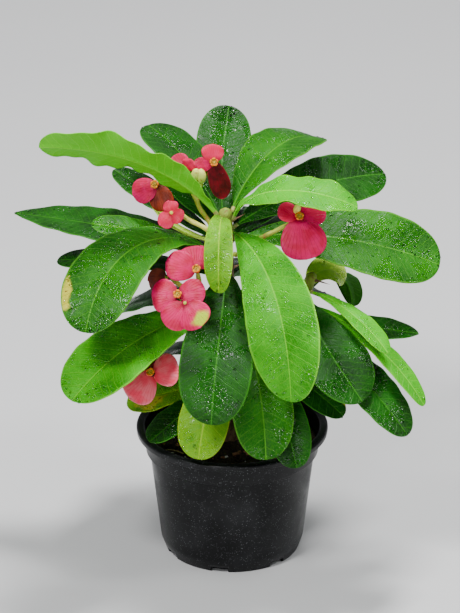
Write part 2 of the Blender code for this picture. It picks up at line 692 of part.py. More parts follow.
def add_bracts(bloom, group, cutters, finish):
    """The bracts of one flower, joined by the small plate that its stalk goes through."""
    facing = bloom.frame()[2]
    aim = Vector(facing).to_track_quat("Z", "Y").to_euler()
    plate = turned(bloom.name, [(0.0, HUB_THICKNESS / 2), (HUB_RADIUS, HUB_THICKNESS / 2 - 0.2),
                                (HUB_RADIUS, 0.2 - HUB_THICKNESS / 2), (0.0, -HUB_THICKNESS / 2)], 12, group, finish)
    plate = settle(plate)
    plate.rotation_euler = aim
    plate.location = Vector(np.array(bloom.centre) * MM)
    blades = []
    share = tip_heavy(BRACT_ROWS)
    across = np.linspace(-1, 1, BRACT_COLUMNS)
    for bract in bloom.bracts:
        points = bloom.bract_surface(bract, share, across)
        blade = blade_object(f"{bloom.name}_blade", points, BRACT_THICKNESS, np.ones((len(share), len(across))),
                             group, finish)
        blades.append(settle(blade))
    whole = fuse(plate, blades)
    bore = TIP_RADIUS + 2 * GAP
    hole = turned(f"{bloom.name}_hole", [(0.0, NECK), (bore, NECK), (bore, -NECK), (0.0, -NECK)], 12, cutters, None)
    hole.rotation_euler = aim
    hole.location = Vector(np.array(bloom.centre) * MM)
    cut(whole, hole)
    return whole


def main():
    """Builds the plant and its pot."""
    purge_scene()
    group = new_collection(COLLECTION_NAME)
    cutters = new_collection("cutters", shown=False)
    plastic = material("black_plastic", (0.012, 0.012, 0.013), 0.42)
    peat = material("peat", (0.035, 0.022, 0.014), 0.95)
    bark = material("woody_stem", (0.16, 0.10, 0.06), 0.8)
    dark_leaf = material("dark_leaf", (0.035, 0.16, 0.022), 0.35, coat=0.4)
    young_leaf = material("young_leaf", (0.17, 0.38, 0.03), 0.4, coat=0.3)
    stalk_green = material("stalk_green", (0.36, 0.38, 0.10), 0.5)
    red_bract = material("red_bract", (0.72, 0.03, 0.07), 0.45)
    add_pot(group, cutters, plastic)
    add_soil(group, cutters, peat)
    add_stem(group, LEAVES, bark)
    for leaf in LEAVES:
        add_leaf(leaf, group, young_leaf if leaf.name in YOUNG_LEAVES else dark_leaf)
    for stalk in STALKS:
        add_stalk(stalk, group, stalk_green)
    for bloom in BLOOMS:
        add_bracts(bloom, group, cutters, red_bract)


if __name__ == "__main__":
    main()
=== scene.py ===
"""Crown of thorns in its nursery pot: the detailed plant, its plain studio and its camera.

Sizes in the rows are in millimetres, and become metres where a mesh is made. The origin is at the
middle of the pot's foot, +X points right, +Y away from the front, +Z up. Azimuth 0 points right,
90 to the back and 180 left.
"""

import logging
import math
import random
from dataclasses import dataclass
from enum import Enum, IntEnum

import bmesh
import bpy
import numpy as np
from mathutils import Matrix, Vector, noise

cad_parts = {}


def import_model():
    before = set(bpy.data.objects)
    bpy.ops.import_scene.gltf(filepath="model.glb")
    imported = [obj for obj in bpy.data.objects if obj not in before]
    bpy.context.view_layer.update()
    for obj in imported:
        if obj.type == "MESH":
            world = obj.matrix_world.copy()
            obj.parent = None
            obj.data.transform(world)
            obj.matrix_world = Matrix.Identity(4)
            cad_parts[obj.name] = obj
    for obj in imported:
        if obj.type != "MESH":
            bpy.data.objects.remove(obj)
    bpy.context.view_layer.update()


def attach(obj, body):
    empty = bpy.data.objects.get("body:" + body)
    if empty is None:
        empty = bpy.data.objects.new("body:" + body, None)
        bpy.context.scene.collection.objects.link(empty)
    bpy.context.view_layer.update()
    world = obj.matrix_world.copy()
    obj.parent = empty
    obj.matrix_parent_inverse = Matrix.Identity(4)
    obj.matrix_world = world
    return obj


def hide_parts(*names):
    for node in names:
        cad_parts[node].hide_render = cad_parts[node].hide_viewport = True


MM = 0.001
BODY = "root"
MAP_WIDTH = 100.0
MAP_LENGTH = 200.0
LOG = logging.getLogger("crown_of_thorns")

Colour = tuple[float, float, float]
Point = tuple[float, float, float]


class Tone(Enum):
    """Leaf colours on the plant, from the oldest and darkest to the youngest and palest."""

    DARK = "dark"
    MID = "mid"
    BRIGHT = "bright"
    LIME = "lime"
    YOUNG = "young"
    # Pale green, made lighter still with painted light.
    PALE = "pale"
    AGED = "aged"


class Petal(Enum):
    """Bract colours, from fresh to withered."""

    ROSE = "rose"
    CORAL = "coral"
    # A coral with painted light: lighter than the bracts' own colour, for bracts that sit in shade.
    SHELL = "shell"
    CRIMSON = "crimson"
    OLD = "old"


class Grain(Enum):
    """Kinds of crumb that lie on the soil."""

    PERLITE = "perlite"
    BARK_CHIP = "bark_chip"
    PEAT_LUMP = "peat_lump"


class LeafSkin(IntEnum):
    """Numbers of the finishes on a leaf."""

    UPPER = 0
    LOWER = 1
    PETIOLE = 2


class StemSkin(IntEnum):
    """Numbers of the finishes on the stem."""

    BARK = 0
    GREEN_BARK = 1
    THORN = 2


class FlowerSkin(IntEnum):
    """Numbers of the finishes on a flower stalk and its cups."""

    STALK = 0
    CREAM_STALK = 1
    CUP = 2
    GLAND = 3
    POLLEN = 4


@dataclass(frozen=True)
class PotSize:
    """Measures of the pot and of the soil in it."""

    height: float = 97.0
    rim_radius: float = 70.0
    lip_height: float = 5.0
    lip_drop: float = 1.4
    collar_radius: float = 63.6
    collar_height: float = 15.0
    shoulder_radius: float = 60.2
    foot_radius: float = 52.3
    foot_chamfer: float = 3.2
    foot_chamfer_height: float = 9.0
    wall: float = 2.0
    base: float = 5.6
    sides: int = 160
    notch_count: int = 7
    notch_width: float = 12.6
    notch_depth: float = 4.5
    notch_height: float = 4.0
    overcut: float = 2.0
    first_notch: float = -100.5
    soil_top: float = 84.0
    soil_ripple: float = 1.6
    soil_rings: int = 56
    soil_sides: int = 132
    crumb_reach: float = 59.0
    gap: float = 0.3

    @property
    def shoulder(self) -> float:
        """Height of the step below the stacking collar."""
        return self.height - self.lip_height - self.collar_height


@dataclass(frozen=True)
class ThornSize:
    """Measures of the thorns and the room that each needs."""

    root: float = 1.0
    sink: float = 1.6
    shortest: float = 7.0
    longest: float = 12.0
    spacing: float = 4.4
    clearance: float = 3.8
    turn: float = 137.5
    green_top: float = 16.0
    seed: int = 7


@dataclass(frozen=True)
class BladeSize:
    """Measures that all leaves share."""

    rows: int = 72
    columns: int = 33
    thickness: float = 1.1
    edge_thickness: float = 0.5
    cad_thickness: float = 2.0
    petiole_share: float = 0.06
    petiole_half_width: float = 1.5
    tip_half_width: float = 0.6
    taper: float = 0.85
    roundness: float = 2.4
    foot_gap: float = 0.5
    wave_lead: float = 0.18
    vein_spacing: float = 6.4
    vein_slant: float = 0.62
    midrib_rise: float = 1.0
    pucker: float = 0.22
    ruffle: float = 0.45


@dataclass(frozen=True)
class BractSize:
    """Measures that all bracts, stalks and cups share."""

    rows: int = 26
    columns: int = 21
    thickness: float = 0.6
    start: float = 0.8
    taper: float = 0.5
    roundness: float = 2.6
    foot_half_width: float = 2.2
    tip_half_width: float = 0.5
    hub_radius: float = 3.3
    stalk_radius: float = 1.7
    tip_radius: float = 1.2
    neck: float = 6.0
    tip_stand: float = 1.6
    cup_radius: float = 3.4
    cup_height: float = 3.6
    cup_seat: float = 1.5
    foot_clearance: float = 0.1


POT = PotSize()
THORN = ThornSize()
BLADE = BladeSize()
BRACT = BractSize()


@dataclass(frozen=True)
class Axis:
    """One woody axis: points up its middle and its radius at the foot and the top."""

    points: tuple[Point, ...]
    foot_radius: float
    top_radius: float

    def at(self, height: float) -> tuple[np.ndarray, np.ndarray, float]:
        """Finds the axis at a height.

        Args:
            height: Height above the floor.

        Returns:
            Its middle, its direction and its radius there.
        """
        line = np.array(self.points, float)
        middle = np.array([np.interp(height, line[:, 2], line[:, k]) for k in range(3)])
        upper = min(max(int(np.searchsorted(line[:, 2], height)), 1), len(line) - 1)
        along = line[upper] - line[upper - 1]
        share = np.clip((height - line[0, 2]) / (line[-1, 2] - line[0, 2]), 0, 1)
        radius = self.foot_radius + (self.top_radius - self.foot_radius) * share
        return middle, along / np.linalg.norm(along), float(radius)

    def surface_point(self, height: float, azimuth: float, clearance: float) -> tuple[np.ndarray, np.ndarray]:
        """Finds a point beside the axis.

        Args:
            height: Height above the floor.
            azimuth: Side of the axis, in degrees.
            clearance: Distance from its bark.

        Returns:
            The point, and the way out from the axis.
        """
        middle, along, radius = self.at(height)
        turn = math.radians(azimuth)
        out = np.array([math.cos(turn), math.sin(turn), 0.0])
        out = out - along * out.dot(along)
        out = out / np.linalg.norm(out)
        return middle + out * (radius + clearance), out


AXES = {
    "main": Axis(((0, 0, 30), (0, 0, 110), (-2, 2, 160), (-4, 4, 220), (-5, 4, 266)), 6.2, 5.0),
    "branch": Axis(((-1, 1, 128), (22, -4, 158), (44, -8, 188), (58, -10, 222)), 4.8, 4.0),
}


@dataclass(frozen=True)
class Leaf:
    """One leaf: where its stalk leaves the stem, how it arches, the set of its blade and its look."""

    name: str
    stem: str
    height: float
    azimuth: float
    rise: float
    droop: float
    length: float
    width: float
    swing: float = 0.0
    roll: float = 0.0
    twist: float = 0.0
    bend: float = 1.0
    fold: float = 10.0
    curl: float = 0.12
    wave: float = 0.0
    waves: float = 1.5
    bluntness: float = 0.5
    tone: Tone = Tone.DARK
    dew: float = 1.0
    spots: tuple[tuple[float, float, float], ...] = ()

    def half_width(self, share: np.ndarray) -> np.ndarray:
        """Half the blade's width along its length.

        Args:
            share: Places along the midrib, from the stalk at 0 to the tip at 1.

        Returns:
            Half the width at each of them.
        """
        along = np.clip((share - BLADE.petiole_share) / (1 - BLADE.petiole_share), 0, 1)
        widest = (BLADE.taper / (BLADE.taper + BLADE.roundness * self.bluntness)) ** (1 / BLADE.roundness)
        blade = along**BLADE.taper * (1 - along**BLADE.roundness) ** self.bluntness
        most = widest**BLADE.taper * (1 - widest**BLADE.roundness) ** self.bluntness
        stalk = BLADE.petiole_half_width * (1 - share) ** 2 + BLADE.tip_half_width * share
        return self.width / 2 * blade / most + stalk

    def midrib(self, share: np.ndarray) -> tuple[np.ndarray, np.ndarray, np.ndarray]:
        """Follows the midrib.

        Args:
            share: Places along it, from 0 to 1.

        Returns:
            Its points, and its level side and upward normal there.
        """
        fine = np.linspace(0, 1, 61)
        middle = (fine[1:] + fine[:-1]) / 2
        steps = self._direction(middle)
        clearance = BLADE.foot_gap + BLADE.cad_thickness / 2 * abs(math.sin(math.radians(self.rise)))
        foot, _ = AXES[self.stem].surface_point(self.height, self.azimuth, clearance)
        line = np.vstack([foot, foot + np.cumsum(steps * self.length / len(middle), 0)])
        points = np.stack([np.interp(share, fine, line[:, k]) for k in range(3)], 1)
        turn = np.radians(self.azimuth + self.swing * share)
        side = np.stack([-np.sin(turn), np.cos(turn), np.zeros_like(turn)], 1)
        return points, side, np.cross(self._direction(share), side)

    def _direction(self, share: np.ndarray) -> np.ndarray:
        """Unit direction of the midrib at each place along it."""
        lift = np.radians(self.rise + (self.droop - self.rise) * share**self.bend)
        turn = np.radians(self.azimuth + self.swing * share)
        return np.stack([np.cos(lift) * np.cos(turn), np.cos(lift) * np.sin(turn), np.sin(lift)], 1)

    def surface(self, share: np.ndarray, across: np.ndarray) -> np.ndarray:
        """Lays the blade out in space.

        Args:
            share: Places along the midrib.
            across: Places across the blade, from -1 to 1.

        Returns:
            A grid of points, a row for each share.
        """
        points, side, normal = self.midrib(share)
        roll = np.radians(self.roll + self.twist * share)[:, None]
        level, square = side, normal
        side = level * np.cos(roll) + square * np.sin(roll)
        normal = square * np.cos(roll) - level * np.sin(roll)
        width = self.half_width(share)[:, None]
        fold = math.radians(self.fold)
        reach = width * across[None, :] * math.cos(fold)
        edge = np.abs(across[None, :])
        beat = self.waves * share[:, None] + BLADE.wave_lead * np.sign(across[None, :])
        ripple = self.wave * edge**1.5 * np.sin(2 * math.pi * beat) * np.sin(math.pi * share[:, None]) ** 0.7
        height = width * edge * math.sin(fold) - self.curl * width * edge**2 + ripple
        spread = points[:, None, :] + side[:, None, :] * reach[..., None]
        return spread + normal[:, None, :] * height[..., None]


@dataclass(frozen=True)
class Bract:
    """One coloured bract: which way it spreads on the face of its flower, its size and its colour."""

    clock: float
    length: float
    width: float
    lift: float = 8.0
    arch: float = 0.16
    cup: float = 0.12
    tone: Petal = Petal.ROSE
    patch: float = 0.0


@dataclass(frozen=True)
class Bloom:
    """One flower: the middle of its bracts, the way it faces, its bracts, and whether it has its cup."""

    name: str
    centre: Point
    azimuth: float
    elevation: float
    bracts: tuple[Bract, ...]
    cup: bool = True

    def frame(self) -> tuple[np.ndarray, np.ndarray, np.ndarray]:
        """Finds the flower's own directions.

        Returns:
            Right, up and the way that it faces.
        """
        turn = math.radians(self.azimuth)
        lift = math.radians(self.elevation)
        facing = np.array([math.cos(lift) * math.cos(turn), math.cos(lift) * math.sin(turn), math.sin(lift)])
        up = np.array([0.0, 0.0, 1.0]) - facing * facing[2]
        up = up / np.linalg.norm(up)
        return np.cross(up, facing), up, facing

    def bract_surface(self, bract: Bract, share: np.ndarray, across: np.ndarray) -> np.ndarray:
        """Lays one bract out in space.

        Args:
            bract: The bract.
            share: Places along it, from the middle of the flower at 0.
            across: Places across it, from -1 to 1.

        Returns:
            A grid of points, a row for each share.
        """
        right, up, facing = self.frame()
        clock = math.radians(bract.clock)
        along = right * math.cos(clock) + up * math.sin(clock)
        side = np.cross(facing, along)
        lift = math.radians(bract.lift)
        reach = BRACT.start + share * (bract.length - BRACT.start)
        rise = reach * math.sin(lift) - bract.arch * reach**2 / bract.length
        width = bract_half_width(bract, share)
        sag = bract.cup * width[:, None] * across[None, :] ** 2
        outward = np.array(self.centre, float) + along * (reach * math.cos(lift))[:, None]
        middle = outward + facing * rise[:, None]
        spread = side * (width[:, None] * across[None, :])[..., None]
        return middle[:, None, :] + spread - facing * sag[..., None]


def bract_half_width(bract: Bract, share: np.ndarray) -> np.ndarray:
    """Half a bract's width along its length.

    Args:
        bract: The bract.
        share: Places along it, from 0 to 1.

    Returns:
        Half the width at each of them.
    """
    blade = np.clip(share, 0, 1) ** BRACT.taper * np.sqrt(np.clip(1 - share**BRACT.roundness, 0, 1))
    widest = (2 * BRACT.taper / (2 * BRACT.taper + BRACT.roundness)) ** (1 / BRACT.roundness)
    most = widest**BRACT.taper * math.sqrt(1 - widest**BRACT.roundness)
    return bract.width / 2 * blade / most + BRACT.foot_half_width * (1 - share) + BRACT.tip_half_width * share


@dataclass(frozen=True)
class Run:
    """One run of a flower stalk, through its corners to a flower."""

    corners: tuple[Point, ...]
    bloom: str


@dataclass(frozen=True)
class Stalk:
    """One branching flower stalk and the buds that it carries."""

    name: str
    stem: str
    height: float
    azimuth: float
    runs: tuple[Run, ...]
    buds: tuple[tuple[Point, float], ...] = ()


LEAVES = (
    Leaf("leaf_upper_left_wavy", "main", 262, -149, 55, -2, 151, 42, swing=-34, roll=38, twist=17,
         wave=2.6, waves=3.0, curl=0.05, tone=Tone.LIME, dew=1.3),
    Leaf("leaf_upper_back_left", "main", 256, 127, 50, 12, 94, 43, swing=8, roll=10, twist=-6),
    Leaf("leaf_top_centre", "main", 250, 97, 14, 38, 116, 40, swing=-18, roll=7, twist=7),
    Leaf("leaf_top_centre_right", "main", 261, 48, 58, -31, 115, 50, swing=6, bluntness=0.8, tone=Tone.MID),
    Leaf("leaf_back_right_dark", "main", 249, 40, 17, -11, 140, 47, swing=-8, roll=18, twist=12,
         bluntness=0.6, dew=1.6),
    Leaf("leaf_right_large", "main", 243, -3, 9, -25, 151, 61, swing=5, roll=17, twist=15,
         tone=Tone.MID, dew=2.0),
    Leaf("leaf_upper_right_lime_wavy", "main", 259, -39, 82, -29, 108, 31, swing=43, roll=28, twist=-14,
         bend=0.6, wave=2.4, waves=2.5, tone=Tone.LIME),
    Leaf("leaf_centre_young", "main", 255, -98, 76, -90, 88, 20, swing=10, roll=-25, twist=50, bend=0.7,
         tone=Tone.YOUNG, dew=1.5),
    Leaf("leaf_front_centre_large", "main", 251, -61, 8, -79, 158, 54, swing=-18, roll=20, twist=26,
         tone=Tone.BRIGHT, dew=1.2),
    Leaf("leaf_front_left_dark", "main", 222, -91, 4, -76, 138, 52, swing=-12,
         dew=1.5, spots=((0.42, -0.95, 0.05),)),
    Leaf("leaf_left_large_drooping", "main", 230, -159, 45, -60, 156, 54, swing=50, roll=-5, twist=-3,
         tone=Tone.MID, dew=2.4, spots=((0.86, -0.9, 0.1),)),
    # Painted light: this leaf takes the bright tone, lighter than its own green, to make up for the shade
    # that the leaf above casts on it.
    Leaf("leaf_left_lower_large", "main", 188, -146, 9, -35, 142, 56, swing=10, roll=-13, twist=6,
         tone=Tone.BRIGHT, dew=1.6),
    Leaf("leaf_far_left_pointed", "main", 233, 161, 6, 2, 154, 50, swing=7, roll=-10, twist=13, bluntness=0.9,
         dew=1.3),
    Leaf("leaf_left_small_lime", "main", 226, -168, 34, 6, 97, 23, swing=-11, roll=-16, twist=-5,
         tone=Tone.MID),
    Leaf("leaf_left_small_pale", "main", 240, 174, 8, 75, 66, 13, bend=1.4, tone=Tone.PALE),
    Leaf("leaf_left_small_dark", "main", 213, 165, 9, -11, 122, 29, roll=-6, twist=-4),
    Leaf("leaf_upper_left_dark", "main", 238, 145, 22, 24, 96, 35, swing=9, twist=3),
    # Painted light: this leaf takes the mid tone rather than the dark one, to make up for the shade that it
    # sits in.
    Leaf("leaf_low_front_dark", "main", 189, -68, -7, -76, 125, 44, swing=-14, tone=Tone.MID),
    Leaf("leaf_low_right_over_rim", "main", 165, -59, -5, -72, 114, 32, swing=3, roll=23, twist=11,
         dew=2.6),
    Leaf("leaf_right_lower_dark", "branch", 206, -85, -12, -47, 100, 52, swing=50, roll=11, twist=-6),
    Leaf("leaf_right_lowest", "branch", 187, -49, -9, -48, 122, 41, swing=16, roll=7, twist=-6,
         dew=2.0),
    Leaf("leaf_right_lime_narrow", "branch", 210, -41, 1, -42, 78, 20, roll=-5, twist=3, tone=Tone.LIME),
    Leaf("leaf_right_lime_lower", "branch", 200, -34, -4, -58, 117, 20, swing=10, twist=7, tone=Tone.LIME),
    Leaf("leaf_right_small_dark", "branch", 189, -10, -6, -3, 86, 25, roll=5, twist=9, bluntness=0.8),
    # Painted light: the pale tone lights the shaded underside that this leaf turns to the camera.
    Leaf("leaf_right_pale_young", "branch", 208, 61, 60, -69, 40, 28, swing=-60, roll=19, tone=Tone.PALE),
    Leaf("leaf_right_hanging_dark", "branch", 200, 59, 36, -87, 90, 20, swing=-7, roll=-7, twist=-5),
    Leaf("leaf_low_left_yellow", "main", 133, 175, -22, -15, 74, 36, swing=-9, roll=-7, twist=-12,
         tone=Tone.AGED, spots=((0.75, 0.5, 0.2), (0.9, -0.5, 0.15))),
    Leaf("leaf_low_left_rim", "main", 134, -132, -13, -27, 77, 30, swing=-13),
    Leaf("leaf_low_front_yellow", "main", 156, -107, -6, -68, 92, 37, tone=Tone.AGED),
    Leaf("leaf_low_right_dark", "main", 161, -41, -1, -40, 99, 26, swing=19, roll=25,
         spots=((0.9, 0.95, 0.12),)),
    Leaf("leaf_inner_top_left", "main", 246, 133, 34, 18, 62, 26),
    Leaf("leaf_inner_right_dark", "main", 240, 42, 28, 2, 41, 18),
    Leaf("leaf_back_upper_left", "main", 243, 95, 22, -35, 116, 48),
    Leaf("leaf_back_upper_right", "main", 236, 62, 15, -45, 115, 50),
    Leaf("leaf_back_middle_left", "main", 218, 119, 9, -45, 120, 50),
    Leaf("leaf_back_middle", "main", 206, 88, 5, -50, 125, 52),
    Leaf("leaf_back_middle_right", "main", 196, 40, 5, -45, 110, 46),
    Leaf("leaf_back_lower_left", "main", 190, 151, 5, -46, 110, 54),
    Leaf("leaf_back_lower", "main", 168, 108, 5, -50, 100, 42),
    Leaf("leaf_back_lower_right", "main", 178, 66, 5, -50, 104, 44),
    Leaf("leaf_back_low_right", "main", 150, 30, 0, -45, 94, 38),
    Leaf("leaf_back_low_left", "main", 150, 142, 0, -45, 90, 46),
)

BLOOMS = (
    Bloom("right_bracts", (47, -15, 267), -80, 38,
          (Bract(-84, 31, 31), Bract(28, 20, 22), Bract(150, 16, 12, lift=12, tone=Petal.CORAL))),
    Bloom("centre_upper_bracts", (-25, -46, 240), -95, 40,
          (Bract(88, 18, 24), Bract(168, 23, 20, lift=14), Bract(120, 20, 14, lift=-14))),
    Bloom("centre_middle_bracts", (-38, -58, 226), -100, 38,
          (Bract(184, 19, 22), Bract(16, 20, 17, lift=14))),
    Bloom("centre_lower_bracts", (-33, -73, 227), -100, 30,
          (Bract(-122, 21, 19), Bract(-48, 21, 21, lift=14, patch=1.5)), cup=False),
    Bloom("centre_old_bract", (-46, -30, 227), -120, 30,
          (Bract(200, 17, 15, lift=-4, tone=Petal.OLD),), cup=False),
    # The two lighter coral bracts of this flower carry painted light for the shade of the leaf above them.
    Bloom("lower_bracts", (-57, -44, 158), -115, 42,
          (Bract(28, 20, 23, tone=Petal.SHELL), Bract(-122, 24, 27, tone=Petal.SHELL),
           Bract(140, 17, 18, lift=0, tone=Petal.CRIMSON))),
    Bloom("upper_bracts", (-14, 12, 298), -75, 25,
          (Bract(82, 13, 14, tone=Petal.CORAL), Bract(186, 14, 8, lift=0),
           Bract(-74, 27, 13, lift=-4, tone=Petal.CRIMSON))),
    Bloom("upper_left_bract", (-33, 8, 294), -100, 40,
          (Bract(140, 14, 13), Bract(60, 9, 8, lift=30, tone=Petal.CORAL)), cup=False),
    Bloom("left_bracts", (-54, 6, 283), -110, 30,
          (Bract(-150, 19, 16), Bract(-62, 19, 15, lift=-2, tone=Petal.OLD))),
    Bloom("left_small_bracts", (-43, -7, 267), -110, 35,
          (Bract(-120, 12, 11, tone=Petal.CORAL), Bract(-20, 10, 9, lift=14, tone=Petal.CORAL),
           Bract(110, 9, 9, lift=14, tone=Petal.CORAL)), cup=False),
)

STALKS = (
    Stalk("right_flower_stalk", "main", 232, -28,
          (Run(((18, -9, 247), (32, -10, 255)), "right_bracts"),), buds=(((45, -14, 270), 9.0),)),
    Stalk("upper_flower_stalk", "main", 245, 158,
          (Run(((-16, 7, 253), (-25, 6, 270), (-22, 9, 284)), "upper_bracts"),
           Run(((-25, 6, 270), (-30, 8, 282)), "upper_left_bract")),
          buds=(((-27, 8, 286), 11.0), ((-22, 8, 284), 12.0))),
    Stalk("left_flower_stalk", "main", 247, -170,
          (Run(((-20, -1, 253), (-34, 0, 261), (-46, 6, 272)), "left_bracts"),
           Run(((-34, 0, 261),), "left_small_bracts"))),
    Stalk("centre_flower_stalk", "main", 206, -140,
          (Run(((-19, -20, 211), (-22, -34, 220)), "centre_upper_bracts"),
           Run(((-19, -20, 211), (-31, -47, 216)), "centre_middle_bracts"),
           Run(((-31, -47, 216), (-33, -61, 211)), "centre_lower_bracts"),
           Run(((-19, -20, 211), (-34, -24, 217)), "centre_old_bract"))),
    Stalk("lower_flower_stalk", "main", 150, -150,
          (Run(((-26, -16, 154), (-44, -32, 152)), "lower_bracts"),)),
)


@dataclass
class Shell:
    """A closed surface in the making: points in millimetres, faces, and what each face is made of."""

    points: np.ndarray
    faces: list[tuple[int, ...]]
    finishes: list[int]
    blade: np.ndarray
    marks: np.ndarray


def grid_faces(rows: int, columns: int, offset: int = 0, flip: bool = False, closed: bool = False) -> list:
    """Quads of a grid of points that are numbered row by row.

    Args:
        rows: Rows of points.
        columns: Points in a row.
        offset: Number of the first point.
        flip: Whether the faces look the other way.
        closed: Whether the last column joins the first.

    Returns:
        The faces, as tuples of point numbers.
    """
    faces = []
    for row in range(rows - 1):
        for column in range(columns if closed else columns - 1):
            near = offset + row * columns + column
            far = offset + row * columns + (column + 1) % columns
            face = (near, near + columns, far + columns, far)
            faces.append(face[::-1] if flip else face)
    return faces


def grid_normals(points: np.ndarray) -> np.ndarray:
    """Unit normals of a grid of points, on the side that rows crossed with columns give.

    Args:
        points: The grid, a row of points for each share.

    Returns:
        A normal for each point.
    """
    along = np.gradient(points, axis=0)
    side = np.gradient(points, axis=1)
    normal = np.cross(along, side)
    return normal / np.maximum(np.linalg.norm(normal, axis=2, keepdims=True), 1e-9)


def blade_shell(
    points: np.ndarray,
    upper: np.ndarray,
    lower: np.ndarray,
    blade: np.ndarray,
    marks: np.ndarray,
    finishes: tuple[int, int],
) -> Shell:
    """A thin closed blade round a grid of points.

    Args:
        points: The middle surface.
        upper: Height of the upper face over it.
        lower: Depth of the lower face under it.
        blade: Where each point lies on the blade, in the units of its map.
        marks: What is painted at each point, in the units of its map.
        finishes: Numbers of the finishes of the upper and the lower face.

    Returns:
        The blade.
    """
    rows, columns = points.shape[:2]
    count = rows * columns
    normal = grid_normals(points)
    top = (points + normal * upper[..., None]).reshape(-1, 3)
    under = (points - normal * lower[..., None]).reshape(-1, 3)
    faces = grid_faces(rows, columns)
    faces += grid_faces(rows, columns, offset=count, flip=True)
    kinds = [finishes[0]] * (len(faces) // 2) + [finishes[1]] * (len(faces) // 2)
    number = np.arange(count).reshape(rows, columns)
    rim = [*number[0, :-1], *number[:-1, -1], *number[-1, :0:-1], *number[:0:-1, 0]]
    for near, far in zip(rim, [*rim[1:], rim[0]]):
        faces.append((int(near), int(far), int(far) + count, int(near) + count))
        kinds.append(finishes[0])
    flat = blade.reshape(-1, 2)
    painted = marks.reshape(-1, 2)
    corners = np.vstack([top, under])
    return Shell(corners, faces, kinds, np.vstack([flat, flat]), np.vstack([painted, painted]))


def blade_map(off: np.ndarray, along: np.ndarray) -> np.ndarray:
    """Lays the map of a blade: how far each point is off the midrib, and how far along it.

    Args:
        off: Distance off the midrib of each point of the grid.
        along: Distance along the midrib of each row.

    Returns:
        Both, in the units of the map.
    """
    rows = np.broadcast_to((along / MAP_LENGTH)[:, None], off.shape)
    return np.stack([off / MAP_WIDTH + 0.5, rows], 2)


def ring_frames(route: np.ndarray) -> tuple[np.ndarray, np.ndarray]:
    """Two directions square to a route at each of its points, which turn as little as they can.

    Args:
        route: The points.

    Returns:
        The two directions, a row for each point.
    """
    along = np.gradient(route, axis=0)
    along = along / np.linalg.norm(along, axis=1, keepdims=True)
    start = np.cross(along[0], (0.0, 0.0, 1.0) if abs(along[0][2]) < 0.9 else (1.0, 0.0, 0.0))
    firsts = [start / np.linalg.norm(start)]
    for direction in along[1:]:
        turned = firsts[-1] - direction * firsts[-1].dot(direction)
        firsts.append(turned / np.linalg.norm(turned))
    first = np.array(firsts)
    return first, np.cross(along, first)


def tube_shell(route: np.ndarray, radii: np.ndarray, sides: int, finish: int = 0) -> Shell:
    """A closed tube along a route.

    Args:
        route: Points along its middle.
        radii: Its radius at each point, or at each point and side.
        sides: Sides round it.
        finish: Number of its finish.

    Returns:
        The tube.
    """
    first, second = ring_frames(route)
    turn = np.linspace(0, 2 * math.pi, sides, endpoint=False)
    cosine = np.cos(turn)[None, :, None]
    sine = np.sin(turn)[None, :, None]
    around = first[:, None, :] * cosine + second[:, None, :] * sine
    spread = radii[:, :, None] if radii.ndim == 2 else radii[:, None, None]
    rings = (route[:, None, :] + around * spread).reshape(-1, 3)
    count = len(rings)
    points = np.vstack([rings, route[:1], route[-1:]])
    faces = grid_faces(len(route), sides, flip=True, closed=True)
    last = count - sides
    for side in range(sides):
        beyond = (side + 1) % sides
        faces.append((count, beyond, side))
        faces.append((count + 1, last + side, last + beyond))
    zero = np.zeros((len(points), 2))
    return Shell(points, faces, [finish] * len(faces), zero, zero)


def lathe_shell(profile: list[tuple[float, float]], sides: int, finish: int = 0) -> Shell:
    """Turns a profile about the upright axis; the body lies to the left of the way it runs.

    Args:
        profile: Radius and height of each point, both ends on the axis.
        sides: Sides round it.
        finish: Number of its finish.

    Returns:
        The turned body.
    """
    inner = np.array(profile[1:-1], float)
    turn = np.linspace(0, 2 * math.pi, sides, endpoint=False)
    rings = np.stack(
        [
            inner[:, :1] * np.cos(turn)[None, :],
            inner[:, :1] * np.sin(turn)[None, :],
            np.repeat(inner[:, 1:], sides, axis=1),
        ],
        2,
    ).reshape(-1, 3)
    count = len(rings)
    ends = np.array([[0.0, 0.0, profile[0][1]], [0.0, 0.0, profile[-1][1]]])
    faces = grid_faces(len(inner), sides, flip=True, closed=True)
    last = count - sides
    for side in range(sides):
        beyond = (side + 1) % sides
        faces.append((count, beyond, side))
        faces.append((count + 1, last + side, last + beyond))
    zero = np.zeros((count + 2, 2))
    return Shell(np.vstack([rings, ends]), faces, [finish] * len(faces), zero, zero)


def join(shells: list[Shell]) -> Shell:
    """Puts shells side by side into one.

    Args:
        shells: The shells.

    Returns:
        All of them as one.
    """
    faces = []
    kinds = []
    offset = 0
    for shell in shells:
        faces += [tuple(corner + offset for corner in face) for face in shell.faces]
        kinds += shell.finishes
        offset += len(shell.points)
    return Shell(
        np.vstack([shell.points for shell in shells]),
        faces,
        kinds,
        np.vstack([shell.blade for shell in shells]),
        np.vstack([shell.marks for shell in shells]),
    )


def moved(shell: Shell, right: np.ndarray, up: np.ndarray, facing: np.ndarray, place: np.ndarray) -> Shell:
    """Turns a shell so that its own X, Y and Z run along three directions, and moves it.

    Args:
        shell: The shell.
        right: Where its X points.
        up: Where its Y points.
        facing: Where its Z points.
        place: Where its origin goes.

    Returns:
        The moved shell.
    """
    shell.points = shell.points @ np.array([right, up, facing]) + place
    return shell


